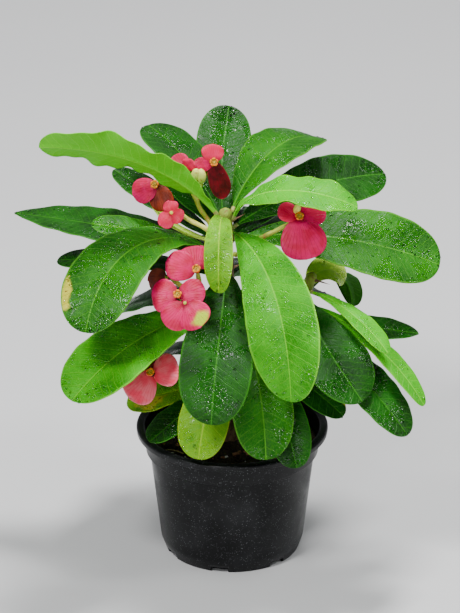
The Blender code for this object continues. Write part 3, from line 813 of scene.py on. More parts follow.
def add_piece(
    name: str,
    shell: Shell,
    finishes: list[bpy.types.Material],
    maps: bool = False,
) -> bpy.types.Object:
    """Makes a shell into a smooth piece of the object.

    Args:
        name: Name of the piece.
        shell: The shell.
        finishes: Its materials, in the order of their numbers.
        maps: Whether its materials read the blade's maps.

    Returns:
        The piece.
    """
    mesh = bpy.data.meshes.new(name)
    mesh.from_pydata((shell.points * MM).tolist(), [], shell.faces)
    for finish in finishes:
        mesh.materials.append(finish)
    mesh.polygons.foreach_set("material_index", [int(number) for number in shell.finishes])
    mesh.polygons.foreach_set("use_smooth", [True] * len(shell.faces))
    if maps:
        corners = np.empty(len(mesh.loops), dtype=np.int32)
        mesh.loops.foreach_get("vertex_index", corners)
        for title, values in (("blade", shell.blade), ("marks", shell.marks)):
            layer = mesh.uv_layers.new(name=title)
            layer.uv.foreach_set("vector", values[corners].astype(np.float32).ravel())
    mesh.update()
    piece = bpy.data.objects.new(name, mesh)
    bpy.context.scene.collection.objects.link(piece)
    return piece


def enlist(piece: bpy.types.Object, slot: str | None, *nodes: str) -> None:
    """Lets a piece ride on the plant, in place of its CAD nodes.

    Args:
        piece: The piece.
        slot: Not used.
        *nodes: CAD nodes that it stands for.
    """
    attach(piece, BODY)
    if nodes:
        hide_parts(*nodes)
    LOG.info("%s: %d faces", piece.name, len(piece.data.polygons))


def smooth_route(corners: list[np.ndarray], step: float) -> np.ndarray:
    """A smooth curve through corner points.

    Args:
        corners: The corners.
        step: About how far apart the points are.

    Returns:
        Points along the curve.
    """
    corners = np.array(corners, float)
    if len(corners) < 3:
        count = max(2, int(np.linalg.norm(corners[-1] - corners[0]) // step) + 1)
        return corners[0] + (corners[-1] - corners[0]) * np.linspace(0, 1, count)[:, None]
    padded = np.vstack([2 * corners[0] - corners[1], corners, 2 * corners[-1] - corners[-2]])
    points = []
    for before, start, end, after in zip(padded, padded[1:], padded[2:], padded[3:]):
        count = max(2, int(np.linalg.norm(end - start) // step) + 1)
        t = np.linspace(0, 1, count, endpoint=False)[:, None]
        square = (2 * before - 5 * start + 4 * end - after) * t**2
        cube = (3 * start - before - 3 * end + after) * t**3
        points.append(0.5 * (2 * start + (end - before) * t + square + cube))
    return np.vstack([*points, corners[-1:]])


def rounded(corners: list[tuple[float, float, float]], steps: int = 5) -> list[tuple[float, float]]:
    """A profile with its corners rounded off.

    Args:
        corners: Radius, height and rounding of each corner.
        steps: Points on each rounded corner.

    Returns:
        Radius and height of each point.
    """
    points = []
    for index, (radius, height, rounding) in enumerate(corners):
        here = np.array((radius, height))
        if rounding <= 0 or index in (0, len(corners) - 1):
            points.append((radius, height))
            continue
        before = np.array(corners[index - 1][:2]) - here
        after = np.array(corners[index + 1][:2]) - here
        start = here + before / np.linalg.norm(before) * min(rounding, np.linalg.norm(before) * 0.45)
        end = here + after / np.linalg.norm(after) * min(rounding, np.linalg.norm(after) * 0.45)
        for t in np.linspace(0, 1, steps):
            bent = start * (1 - t) ** 2 + here * 2 * t * (1 - t) + end * t**2
            points.append((float(bent[0]), float(bent[1])))
    return points


class NodeGraph:
    """One material's node tree, with short ways to add to it."""

    def __init__(self, name: str) -> None:
        """Starts a material.

        Args:
            name: Its name.
        """
        self.material = bpy.data.materials.new(name)
        self.material.use_nodes = True
        self.tree = self.material.node_tree
        self.shader = self.tree.nodes["Principled BSDF"]

    def add(self, kind: str, **settings: object) -> bpy.types.Node:
        """Adds a node.

        Args:
            kind: Its type.
            **settings: Its properties.

        Returns:
            The node.
        """
        node = self.tree.nodes.new(kind)
        for title, value in settings.items():
            setattr(node, title, value)
        return node

    def put(self, socket: bpy.types.NodeSocket, value: object) -> None:
        """Feeds a socket with another node's output or with a plain value.

        Args:
            socket: The socket.
            value: The output, number or colour.
        """
        if isinstance(value, bpy.types.NodeSocket):
            self.tree.links.new(value, socket)
        elif isinstance(value, tuple) and socket.type == "RGBA":
            socket.default_value = (*value[:3], 1.0)
        else:
            socket.default_value = value

    def math(
        self,
        operation: str,
        first: object,
        second: object = 0.0,
        third: object = 0.0,
    ) -> bpy.types.NodeSocket:
        """Adds a sum.

        Args:
            operation: What it does.
            first: First number.
            second: Second number.
            third: Third number.

        Returns:
            The result.
        """
        node = self.add("ShaderNodeMath", operation=operation)
        for socket, value in zip(node.inputs, (first, second, third)):
            self.put(socket, value)
        return node.outputs[0]

    def band(self, value: object, start: float, end: float, low: float = 0.0, high: float = 1.0) -> object:
        """Turns a range of a value smoothly into another range.

        Args:
            value: The value.
            start: Where it starts.
            end: Where it ends.
            low: Result at the start.
            high: Result at the end.

        Returns:
            The result.
        """
        node = self.add("ShaderNodeMapRange", interpolation_type="SMOOTHSTEP")
        for socket, number in zip(node.inputs, (value, start, end, low, high)):
            self.put(socket, number)
        return node.outputs[0]

    def mix(self, factor: object, low: object, high: object) -> bpy.types.NodeSocket:
        """Mixes two colours.

        Args:
            factor: Share of the second.
            low: First colour.
            high: Second colour.

        Returns:
            The mixed colour.
        """
        node = self.add("ShaderNodeMix", data_type="RGBA")
        self.put(node.inputs[0], factor)
        self.put(node.inputs[6], low)
        self.put(node.inputs[7], high)
        return node.outputs[2]

    def painted(self, title: str) -> tuple[bpy.types.NodeSocket, bpy.types.NodeSocket]:
        """Reads one of a blade's two maps.

        Args:
            title: Name of the map.

        Returns:
            Its two numbers.
        """
        spot = self.add("ShaderNodeUVMap", uv_map=title)
        split = self.add("ShaderNodeSeparateXYZ")
        self.put(split.inputs[0], spot.outputs[0])
        return split.outputs[0], split.outputs[1]

    def places(self, stretch: Point = (1.0, 1.0, 1.0)) -> bpy.types.NodeSocket:
        """Gives places on the object in its own metres.

        Args:
            stretch: Scale along each axis.

        Returns:
            The places.
        """
        spot = self.add("ShaderNodeTexCoord").outputs["Object"]
        if stretch == (1.0, 1.0, 1.0):
            return spot
        node = self.add("ShaderNodeMapping")
        self.put(node.inputs["Vector"], spot)
        node.inputs["Scale"].default_value = stretch
        return node.outputs[0]

    def cloud(self, size: float, detail: float = 3.0, where: object = None, roughness: float = 0.5) -> object:
        """Soft noise, from 0 to 1.

        Args:
            size: Size of its blotches in millimetres.
            detail: Levels of finer blotches.
            where: Places that it is read at, or None for the object's own.
            roughness: Strength of the finer blotches.

        Returns:
            The noise.
        """
        node = self.add("ShaderNodeTexNoise")
        self.put(node.inputs["Vector"], self.places() if where is None else where)
        node.inputs["Scale"].default_value = 1000.0 / size
        node.inputs["Detail"].default_value = detail
        node.inputs["Roughness"].default_value = roughness
        return node.outputs["Fac"]

    def cells(self, size: float, feature: str = "F1", where: object = None) -> bpy.types.NodeSocket:
        """Distances in a net of cells.

        Args:
            size: Size of a cell in millimetres.
            feature: Which distance.
            where: Places that it is read at, or None for the object's own.

        Returns:
            The distance, in cells.
        """
        node = self.add("ShaderNodeTexVoronoi", feature=feature)
        self.put(node.inputs["Vector"], self.places() if where is None else where)
        node.inputs["Scale"].default_value = 1000.0 / size
        return node.outputs["Distance"]

    def bump(self, height: object, depth: float, strength: float = 1.0) -> None:
        """Gives the shader a relief.

        Args:
            height: Relief, from 0 to 1.
            depth: Its depth in millimetres.
            strength: How much of it shows.
        """
        node = self.add("ShaderNodeBump")
        node.inputs["Strength"].default_value = strength
        node.inputs["Distance"].default_value = depth * MM
        self.put(node.inputs["Height"], height)
        self.put(self.shader.inputs["Normal"], node.outputs[0])

    def finish(self, colour: object, roughness: object, specular: object = 0.5) -> bpy.types.Material:
        """Sets the shader and ends the graph.

        Args:
            colour: Base colour.
            roughness: Roughness.
            specular: Specular level.

        Returns:
            The material.
        """
        self.put(self.shader.inputs["Base Color"], colour)
        self.put(self.shader.inputs["Roughness"], roughness)
        self.put(self.shader.inputs["Specular IOR Level"], specular)
        return self.material


@dataclass(frozen=True)
class LeafFinish:
    """Colours of one leaf tone: blade in shade and in light, veins and underside."""

    deep: Colour
    fresh: Colour
    vein: Colour
    under: Colour

    def upper(self, name: str) -> bpy.types.Material:
        """Makes the upper face: midrib, side veins, fine net, blotches, aged spots and wet patches.

        Args:
            name: Name of the material.

        Returns:
            The material.
        """
        graph = NodeGraph(name)
        rib, side, net = vein_masks(graph)
        blotch = graph.band(graph.cloud(26.0, 4.0), 0.32, 0.68)
        colour = graph.mix(blotch, self.deep, self.fresh)
        colour = graph.mix(graph.math("MULTIPLY", net, 0.26), colour, self.vein)
        colour = graph.mix(graph.math("MULTIPLY", side, 0.42), colour, self.vein)
        colour = graph.mix(graph.math("MULTIPLY", rib, 0.85), colour, self.vein)
        spotted, border = graph.painted("marks")
        fleck = graph.math("MULTIPLY_ADD", graph.cloud(7.0, 4.0), 0.9, spotted)
        yellow = graph.band(fleck, 0.72, 0.95)
        brown = graph.math("MULTIPLY", graph.band(graph.cloud(4.0, 3.0), 0.6, 0.66), yellow)
        colour = graph.mix(graph.math("MULTIPLY", yellow, 0.85), colour, (0.52, 0.47, 0.03))
        colour = graph.mix(brown, colour, (0.12, 0.045, 0.01))
        colour = graph.mix(graph.band(border, 0.93, 1.0), colour, self.vein)
        relief = graph.math("MULTIPLY_ADD", side, -0.55, graph.math("MULTIPLY", net, -0.25))
        relief = graph.math("MULTIPLY_ADD", graph.cloud(1.6, 3.0), 0.45, relief)
        wet = graph.band(graph.cloud(17.0, 4.0), 0.49, 0.58)
        bead = graph.math("MULTIPLY", graph.band(graph.cells(2.0), 0.5, 0.05), wet)
        graph.bump(graph.math("MULTIPLY_ADD", bead, 1.4, relief), 0.5, 0.9)
        roughness = graph.math("MULTIPLY_ADD", wet, -0.3, 0.44)
        return graph.finish(colour, roughness, graph.math("MULTIPLY_ADD", bead, 0.85, 0.15))

    def lower(self, name: str) -> bpy.types.Material:
        """Makes the underside: paler and duller, with the same veins.

        Args:
            name: Name of the material.

        Returns:
            The material.
        """
        graph = NodeGraph(name)
        rib, side, net = vein_masks(graph)
        colour = graph.mix(graph.cloud(20.0, 3.0), self.under, self.fresh)
        colour = graph.mix(graph.math("MULTIPLY", net, 0.2), colour, self.vein)
        colour = graph.mix(graph.math("MAXIMUM", rib, graph.math("MULTIPLY", side, 0.6)), colour, self.vein)
        graph.bump(graph.math("ADD", side, graph.math("MULTIPLY", net, 0.4)), 0.3, 0.5)
        return graph.finish(colour, 0.5, specular=0.15)


def vein_masks(graph: NodeGraph) -> tuple[object, object, object]:
    """Adds the veins that the blade's map places: midrib, side veins and a fine net between them.

    Args:
        graph: The material's graph.

    Returns:
        How strongly each kind shows, from 0 to 1.
    """
    across, share = graph.painted("blade")
    off = graph.math("ABSOLUTE", graph.math("MULTIPLY_ADD", across, MAP_WIDTH, -MAP_WIDTH / 2))
    along = graph.math("MULTIPLY", share, MAP_LENGTH)
    wobble = graph.math("MULTIPLY_ADD", graph.cloud(9.0, 2.0), 3.2, -1.6)
    run = graph.math("ADD", graph.math("MULTIPLY_ADD", off, -BLADE.vein_slant, along), wobble)
    beat = graph.math("PINGPONG", graph.math("DIVIDE", run, BLADE.vein_spacing), 0.5)
    rib = graph.band(off, graph.math("MULTIPLY_ADD", along, -0.004, 1.15), 0.1)
    side = graph.band(beat, 0.075, 0.0)
    sheet = graph.add("ShaderNodeCombineXYZ")
    graph.put(sheet.inputs[0], graph.math("MULTIPLY", off, MM))
    graph.put(sheet.inputs[1], graph.math("MULTIPLY", run, MM))
    net = graph.band(graph.cells(2.1, "DISTANCE_TO_EDGE", sheet.outputs[0]), 0.1, 0.0)
    return rib, side, net


@dataclass(frozen=True)
class BractFinish:
    """Colours of one bract: its middle, its edge and its veins."""

    heart: Colour
    edge: Colour
    # Also the colour of the painted shade towards the flower's middle.
    vein: Colour

    def make(self, name: str) -> bpy.types.Material:
        """Makes the bract: a fan of fine veins, blotches, a paler edge, painted shade at its foot and wet
        patches.

        Args:
            name: Name of the material.

        Returns:
            The material.
        """
        graph = NodeGraph(name)
        across, share = graph.painted("blade")
        off = graph.math("MULTIPLY_ADD", across, MAP_WIDTH, -MAP_WIDTH / 2)
        along = graph.math("MULTIPLY_ADD", share, MAP_LENGTH, 4.0)
        fan = graph.math("ARCTAN2", off, along)
        beat = graph.math("MULTIPLY_ADD", graph.cloud(6.0, 2.0), 0.5, graph.math("MULTIPLY", fan, 9.0))
        vein = graph.band(graph.math("PINGPONG", beat, 0.5), 0.11, 0.0)
        patched, border = graph.painted("marks")
        rim = graph.band(graph.math("MULTIPLY_ADD", graph.cloud(5.0, 3.0), 0.4, border), 0.85, 1.3)
        blotch = graph.band(graph.cloud(8.0, 4.0), 0.38, 0.66)
        colour = graph.mix(graph.math("MULTIPLY", blotch, 0.7), self.heart, self.edge)
        colour = graph.mix(rim, colour, self.edge)
        colour = graph.mix(graph.math("MULTIPLY", vein, 0.4), colour, self.vein)
        # Painted shade: towards the middle of the flower, where the bracts and the cup shade each other, the
        # bract darkens to its vein colour.
        colour = graph.mix(graph.band(along, 9.0, 5.0, 0.0, 0.75), colour, self.vein)
        patch = graph.band(graph.math("MULTIPLY_ADD", graph.cloud(5.0, 4.0), 0.9, patched), 0.65, 1.4)
        colour = graph.mix(patch, colour, (0.42, 0.55, 0.01))
        wet = graph.band(graph.cloud(7.0, 2.0), 0.5, 0.62)
        bead = graph.math("MULTIPLY", graph.band(graph.cells(1.5), 0.4, 0.05), wet)
        relief = graph.math("MULTIPLY_ADD", graph.cloud(2.2, 3.0), 0.5, graph.math("ADD", vein, bead))
        graph.bump(relief, 0.3, 0.6)
        return graph.finish(colour, graph.math("MULTIPLY_ADD", bead, -0.3, 0.42), specular=0.2)


@dataclass(frozen=True)
class StemFinish:
    """Colours of a stalk or stem: low and high colour, and the colour of its scars and flecks."""

    base: Colour
    flush: Colour
    fleck: Colour
    roughness: float = 0.6
    size: float = 5.0

    def make(self, name: str) -> bpy.types.Material:
        """Makes bark or stalk skin: streaks along it, flecks, and fine cracks.

        Args:
            name: Name of the material.

        Returns:
            The material.
        """
        graph = NodeGraph(name)
        streak = graph.band(graph.cloud(self.size, 4.0, graph.places((1.0, 1.0, 0.35))), 0.35, 0.65)
        colour = graph.mix(streak, self.base, self.flush)
        fleck = graph.band(graph.cloud(self.size * 0.4, 3.0), 0.58, 0.68)
        colour = graph.mix(fleck, colour, self.fleck)
        crack = graph.band(graph.cells(self.size * 0.5, "DISTANCE_TO_EDGE"), 0.1, 0.0)
        graph.bump(graph.math("MULTIPLY_ADD", crack, -0.6, graph.cloud(self.size * 0.3, 3.0)), 0.3, 0.6)
        return graph.finish(colour, self.roughness, specular=0.3)


@dataclass(frozen=True)
class PotFinish:
    """The pot's black plastic, with the fine marks that spray and dust leave on it."""

    base: Colour = (0.0010, 0.0012, 0.0016)
    dust: Colour = (0.27, 0.28, 0.30)

    def make(self, name: str) -> bpy.types.Material:
        """Makes moulded plastic: a fine grain, scattered dry spots and softly worn gloss.

        Args:
            name: Name of the material.

        Returns:
            The material.
        """
        graph = NodeGraph(name)
        spot = graph.band(graph.cells(2.2), 0.16, 0.06)
        rarer = graph.math("MULTIPLY", spot, graph.band(graph.cloud(24.0, 2.0), 0.35, 0.6))
        speck = graph.band(graph.cells(1.2), 0.27, 0.1)
        patchy = graph.math("MULTIPLY", speck, graph.band(graph.cloud(3.0, 2.0), 0.4, 0.65))
        marks = graph.math("MAXIMUM", rarer, graph.math("MULTIPLY", patchy, 0.8))
        film = graph.band(graph.cloud(34.0, 4.0), 0.4, 0.75, 0.0, 0.04)
        colour = graph.mix(graph.math("ADD", graph.math("MULTIPLY", marks, 0.55), film), self.base, self.dust)
        relief = graph.math("MULTIPLY_ADD", marks, 0.5, graph.math("MULTIPLY", graph.cloud(0.7, 2.0), 0.35))
        graph.bump(relief, 0.12, 0.5)
        wear = graph.band(graph.cloud(18.0, 3.0), 0.35, 0.7, 0.32, 0.48)
        return graph.finish(colour, wear, specular=0.2)


@dataclass(frozen=True)
class CrumbFinish:
    """Soil and the crumbs in it: two colours in fine grains."""

    dark: Colour
    light: Colour
    size: float = 2.0
    depth: float = 0.6

    def make(self, name: str) -> bpy.types.Material:
        """Makes a rough, grainy stuff.

        Args:
            name: Name of the material.

        Returns:
            The material.
        """
        graph = NodeGraph(name)
        grain = graph.cloud(self.size, 6.0, roughness=0.7)
        colour = graph.mix(graph.band(grain, 0.38, 0.68), self.dark, self.light)
        graph.bump(graph.math("ADD", grain, graph.cloud(self.size * 0.35, 4.0)), self.depth, 0.9)
        return graph.finish(colour, graph.band(grain, 0.3, 0.6, 0.75, 0.97), specular=0.3)


@dataclass(frozen=True)
class WaterFinish:
    """Clear water, for the drops on the leaves."""

    tint: Colour = (0.96, 1.0, 0.97)

    def make(self, name: str) -> bpy.types.Material:
        """Makes water.

        Args:
            name: Name of the material.

        Returns:
            The material.
        """
        graph = NodeGraph(name)
        shader = graph.shader.inputs
        shader["Base Color"].default_value = (*self.tint, 1.0)
        shader["Transmission Weight"].default_value = 1.0
        shader["IOR"].default_value = 1.33
        shader["Roughness"].default_value = 0.02
        shader["Specular IOR Level"].default_value = 1.0
        return graph.material


LEAF_FINISHES = {
    Tone.DARK: LeafFinish(
        (0.001, 0.028, 0.0002), (0.005, 0.082, 0.0004), (0.035, 0.21, 0.007), (0.03, 0.16, 0.004)
    ),
    Tone.MID: LeafFinish(
        (0.004, 0.07, 0.0003), (0.015, 0.155, 0.001), (0.08, 0.32, 0.01), (0.05, 0.24, 0.006)
    ),
    Tone.BRIGHT: LeafFinish(
        (0.012, 0.18, 0.0004), (0.045, 0.36, 0.0015), (0.17, 0.56, 0.02), (0.10, 0.40, 0.01)
    ),
    Tone.LIME: LeafFinish(
        (0.030, 0.33, 0.0006), (0.065, 0.46, 0.002), (0.20, 0.65, 0.02), (0.12, 0.50, 0.008)
    ),
    Tone.YOUNG: LeafFinish(
        (0.05, 0.21, 0.0001), (0.13, 0.39, 0.0004), (0.30, 0.55, 0.008), (0.16, 0.36, 0.002)
    ),
    # Painted light: the pale tone is lighter than the leaf's own pale green, the underside most of all, so
    # that an underside that faces the camera in shade still looks lit.
    Tone.PALE: LeafFinish(
        (0.36, 0.66, 0.015), (0.52, 0.80, 0.05), (0.70, 0.90, 0.18), (0.80, 1.0, 0.20)
    ),
    Tone.AGED: LeafFinish(
        (0.045, 0.22, 0.0004), (0.14, 0.36, 0.001), (0.28, 0.48, 0.01), (0.16, 0.34, 0.005)
    ),
}

BRACT_FINISHES = {
    Petal.ROSE: BractFinish((0.46, 0.0002, 0.04), (0.66, 0.0012, 0.12), (0.26, 0.0001, 0.02)),
    Petal.CORAL: BractFinish((0.66, 0.003, 0.05), (0.72, 0.018, 0.105), (0.44, 0.001, 0.02)),
    # The lighter coral is painted light, for bracts in shade.
    Petal.SHELL: BractFinish((1.0, 0.05, 0.12), (1.0, 0.20, 0.28), (0.74, 0.015, 0.05)),
    Petal.CRIMSON: BractFinish((0.04, 0.0001, 0.001), (0.20, 0.0004, 0.010), (0.03, 0.0001, 0.001)),
    Petal.OLD: BractFinish((0.10, 0.008, 0.003), (0.30, 0.035, 0.008), (0.05, 0.004, 0.001)),
}

STEM_FINISHES = {
    "bark": StemFinish((0.13, 0.075, 0.04), (0.24, 0.15, 0.075), (0.07, 0.035, 0.02), 0.75, 5.0),
    "green_bark": StemFinish((0.16, 0.24, 0.02), (0.30, 0.38, 0.05), (0.20, 0.10, 0.02), 0.6, 5.0),
    "thorn": StemFinish((0.17, 0.075, 0.045), (0.36, 0.20, 0.13), (0.05, 0.02, 0.015), 0.5, 3.0),
    "stalk": StemFinish((0.24, 0.32, 0.02), (0.46, 0.50, 0.06), (0.40, 0.14, 0.04), 0.45, 6.0),
    "cream_stalk": StemFinish((0.72, 0.69, 0.07), (0.86, 0.84, 0.18), (0.66, 0.40, 0.10), 0.4, 6.0),
    "petiole": StemFinish((0.26, 0.36, 0.07), (0.42, 0.44, 0.12), (0.42, 0.14, 0.08), 0.45, 5.0),
    "cup": StemFinish((0.42, 0.30, 0.03), (0.62, 0.46, 0.05), (0.34, 0.10, 0.02), 0.4, 2.0),
    "gland": StemFinish((0.72, 0.14, 0.005), (0.90, 0.30, 0.01), (0.50, 0.06, 0.005), 0.25, 2.0),
    "pollen": StemFinish((0.78, 0.46, 0.02), (0.88, 0.64, 0.08), (0.60, 0.26, 0.02), 0.6, 1.0),
    "dry_stalk": StemFinish((0.52, 0.38, 0.16), (0.66, 0.52, 0.26), (0.30, 0.18, 0.08), 0.7, 3.0),
}

CRUMB_FINISHES = {
    Grain.PERLITE: CrumbFinish((0.50, 0.48, 0.44), (0.80, 0.79, 0.76), 0.8, 0.2),
    Grain.BARK_CHIP: CrumbFinish((0.16, 0.06, 0.03), (0.42, 0.20, 0.12), 1.6, 0.3),
    Grain.PEAT_LUMP: CrumbFinish((0.010, 0.006, 0.004), (0.05, 0.028, 0.015), 1.2, 0.4),
}


class PotAndSoil:
    """The nursery pot and the soil in it."""

    def __init__(self, size: PotSize) -> None:
        """Takes the measures.

        Args:
            size: Measures of the pot.
        """
        self.size = size

    def pot_profile(self) -> list[tuple[float, float]]:
        """Draws the pot's wall: foot, tapered side, stacking collar, rolled lip and the inside.

        Returns:
            Radius and height of each point, from the middle of the foot round to the inside.
        """
        size = self.size
        inner_foot = size.foot_radius - size.wall
        return rounded(
            [
                (0.0, 0.0, 0.0),
                (size.foot_radius - size.foot_chamfer, 0.0, 0.5),
                (size.foot_radius, size.foot_chamfer_height, 2.0),
                (size.shoulder_radius, size.shoulder, 0.5),
                (size.collar_radius - 0.6, size.shoulder + 0.8, 0.5),
                (size.collar_radius, size.height - size.lip_height - 0.8, 0.6),
                (size.rim_radius - 0.4, size.height - size.lip_height, 0.5),
                (size.rim_radius, size.height - size.lip_drop, 1.2),
                (size.rim_radius - 1.0, size.height - 0.2, 0.8),
                (size.rim_radius - 5.2, size.height, 0.8),
                (size.rim_radius - 6.5, size.height - 1.0, 0.8),
                (size.collar_radius - size.wall, size.shoulder + 2.5, 1.0),
                (size.shoulder_radius - size.wall, size.shoulder, 1.0),
                (inner_foot, size.foot_chamfer_height, 1.5),
                (inner_foot - 1, size.base, 1.0),
                (0.0, size.base, 0.0),
            ]
        )

    def build_pot(self) -> bpy.types.Object:
        """Makes the pot, with its notches cut out of the foot.

        Returns:
            The pot.
        """
        size = self.size
        plastic = PotFinish().make("black_plastic")
        pot = add_piece("nursery_pot", lathe_shell(self.pot_profile(), size.sides), [plastic])
        shape = bmesh.new()
        for index in range(size.notch_count):
            turn = math.radians(size.first_notch + 360 / size.notch_count * index)
            spin = np.array([[math.cos(turn), -math.sin(turn)], [math.sin(turn), math.cos(turn)]])
            middle = size.foot_radius - size.foot_chamfer + (size.overcut - size.notch_depth) / 2
            centre = (size.notch_height - size.overcut) / 2
            for vertex in bmesh.ops.create_cube(shape, size=1.0)["verts"]:
                reach = vertex.co.x * (size.notch_depth + size.overcut) + middle
                flat = spin @ np.array([reach, vertex.co.y * size.notch_width])
                level = vertex.co.z * (size.notch_height + size.overcut) + centre
                vertex.co = Vector((flat[0], flat[1], level)) * MM
        mesh = bpy.data.meshes.new("notches")
        shape.to_mesh(mesh)
        shape.free()
        knife = bpy.data.objects.new("notches", mesh)
        bpy.context.scene.collection.objects.link(knife)
        cut = pot.modifiers.new("notches", "BOOLEAN")
        cut.operation = "DIFFERENCE"
        cut.object = knife
        cut.solver = "EXACT"
        bpy.context.view_layer.update()
        graph = bpy.context.evaluated_depsgraph_get()
        whole = bpy.data.meshes.new_from_object(pot.evaluated_get(graph), depsgraph=graph)
        pot.modifiers.clear()
        pot.data = whole
        bpy.data.objects.remove(knife, do_unlink=True)
        enlist(pot, "pot_plastic", "pot")
        return pot

    def soil_height(self, x: float, y: float) -> float:
        """Finds the soil's surface.

        Args:
            x: Place to the right.
            y: Place to the back.

        Returns:
            Its height above the floor.
        """
        size = self.size
        reach = math.hypot(x, y) / (size.collar_radius - size.wall)
        waves = math.sin(0.13 * x + 0.6) * math.cos(0.11 * y - 0.4) + 0.5 * math.sin(0.31 * x - 0.27 * y)
        crumbs = noise.fractal(Vector((x, y, 0.0)) * 0.35, 0.6, 2.2, 5) * 0.9
        fade = min(1.0, max(0.0, 4 * (1 - reach)) + 0.25)
        return size.soil_top + (size.soil_ripple * waves + crumbs) * fade

    def build_soil(self) -> bpy.types.Object:
        """Makes the soil, with a crumbly surface.

        Returns:
            The soil.
        """
        size = self.size
        top = size.collar_radius - size.wall - size.gap - 0.4
        inner_foot = size.foot_radius - size.wall - 2 * size.gap
        inner_shoulder = size.shoulder_radius - size.wall - 2 * size.gap
        rings = size.soil_rings
        profile = [
            (0.0, size.base + size.gap),
            (inner_foot - 1, size.base + size.gap),
            (inner_foot, size.foot_chamfer_height),
            (inner_shoulder, size.shoulder),
            (top, size.shoulder + 3.0),
        ]
        profile += [(top * (rings - ring) / rings, size.soil_top) for ring in range(rings + 1)]
        shell = lathe_shell(profile, size.soil_sides)
        for point in shell.points:
            if point[2] > size.soil_top - 0.1:
                point[2] = self.soil_height(point[0], point[1])
        peat = CrumbFinish((0.014, 0.009, 0.006), (0.075, 0.042, 0.022)).make("peat")
        soil = add_piece("potting_soil", shell, [peat])
        enlist(soil, "soil", "soil")
        return soil

    def build_crumbs(self) -> list[bpy.types.Object]:
        """Scatters perlite, bark chips and lumps over the soil.

        Returns:
            One piece for each kind.
        """
        chance = random.Random(11)
        made = []
        for grain, count, small, large, flat in (
            (Grain.PERLITE, 60, 0.5, 1.3, 0.9),
            (Grain.BARK_CHIP, 90, 0.9, 3.0, 0.45),
            (Grain.PEAT_LUMP, 210, 0.8, 2.4, 0.7),
        ):
            shells = [self._crumb(chance, small, large, flat) for _ in range(count)]
            piece = add_piece(f"soil_{grain.value}", join(shells), [CRUMB_FINISHES[grain].make(grain.value)])
            enlist(piece, "soil")
            made.append(piece)
        return made

    def _crumb(self, chance: random.Random, small: float, large: float, flat: float) -> Shell:
        """One crumb lying on the soil, somewhere clear of the stem."""
        shape = bmesh.new()
        bmesh.ops.create_icosphere(shape, subdivisions=2, radius=1.0)
        points = np.array([vertex.co[:] for vertex in shape.verts])
        faces = [tuple(vertex.index for vertex in face.verts) for face in shape.faces]
        shape.free()
        radius = chance.uniform(small, large)
        seed = Vector((chance.uniform(0, 90), chance.uniform(0, 90), chance.uniform(0, 90)))
        bumps = np.array([1 + 0.45 * noise.noise(Vector(point) * 1.3 + seed) for point in points])
        spread = np.array([radius, radius * chance.uniform(0.5, 1.0), radius * flat])
        points = points * bumps[:, None] * spread
        turn = chance.uniform(0, 2 * math.pi)
        cosine, sine = math.cos(turn), math.sin(turn)
        spin = np.array([[cosine, sine, 0], [-sine, cosine, 0], [0, 0, 1]])
        reach = math.sqrt(chance.uniform(0.03, 0.93)) * self.size.crumb_reach
        side = chance.uniform(0, 2 * math.pi)
        x, y = reach * math.cos(side), reach * math.sin(side)
        place = np.array([x, y, self.soil_height(x, y) + radius * flat * 0.25])
        zero = np.zeros((len(points), 2))
        return Shell(points @ spin + place, faces, [0] * len(faces), zero, zero)

    def build_dry_stalk(self) -> bpy.types.Object:
        """Lays the thin dry stalk on the soil at the front.

        Returns:
            The stalk.
        """
        knots = [(-49.0, -22.0, 85.6), (-45.0, -24.0, 87.4), (-40.0, -25.0, 86.6), (-35.5, -25.5, 84.9)]
        route = smooth_route([np.array(knot) for knot in knots], 1.2)
        straw = STEM_FINISHES["dry_stalk"].make("dry_stalk")
        twig = add_piece("dry_stalk", tube_shell(route, np.full(len(route), 0.55), 8), [straw])
        enlist(twig, "soil")
        return twig

    def build(self) -> None:
        """Makes all of it."""
        self.build_pot()
        self.build_soil()
        self.build_crumbs()
        self.build_dry_stalk()


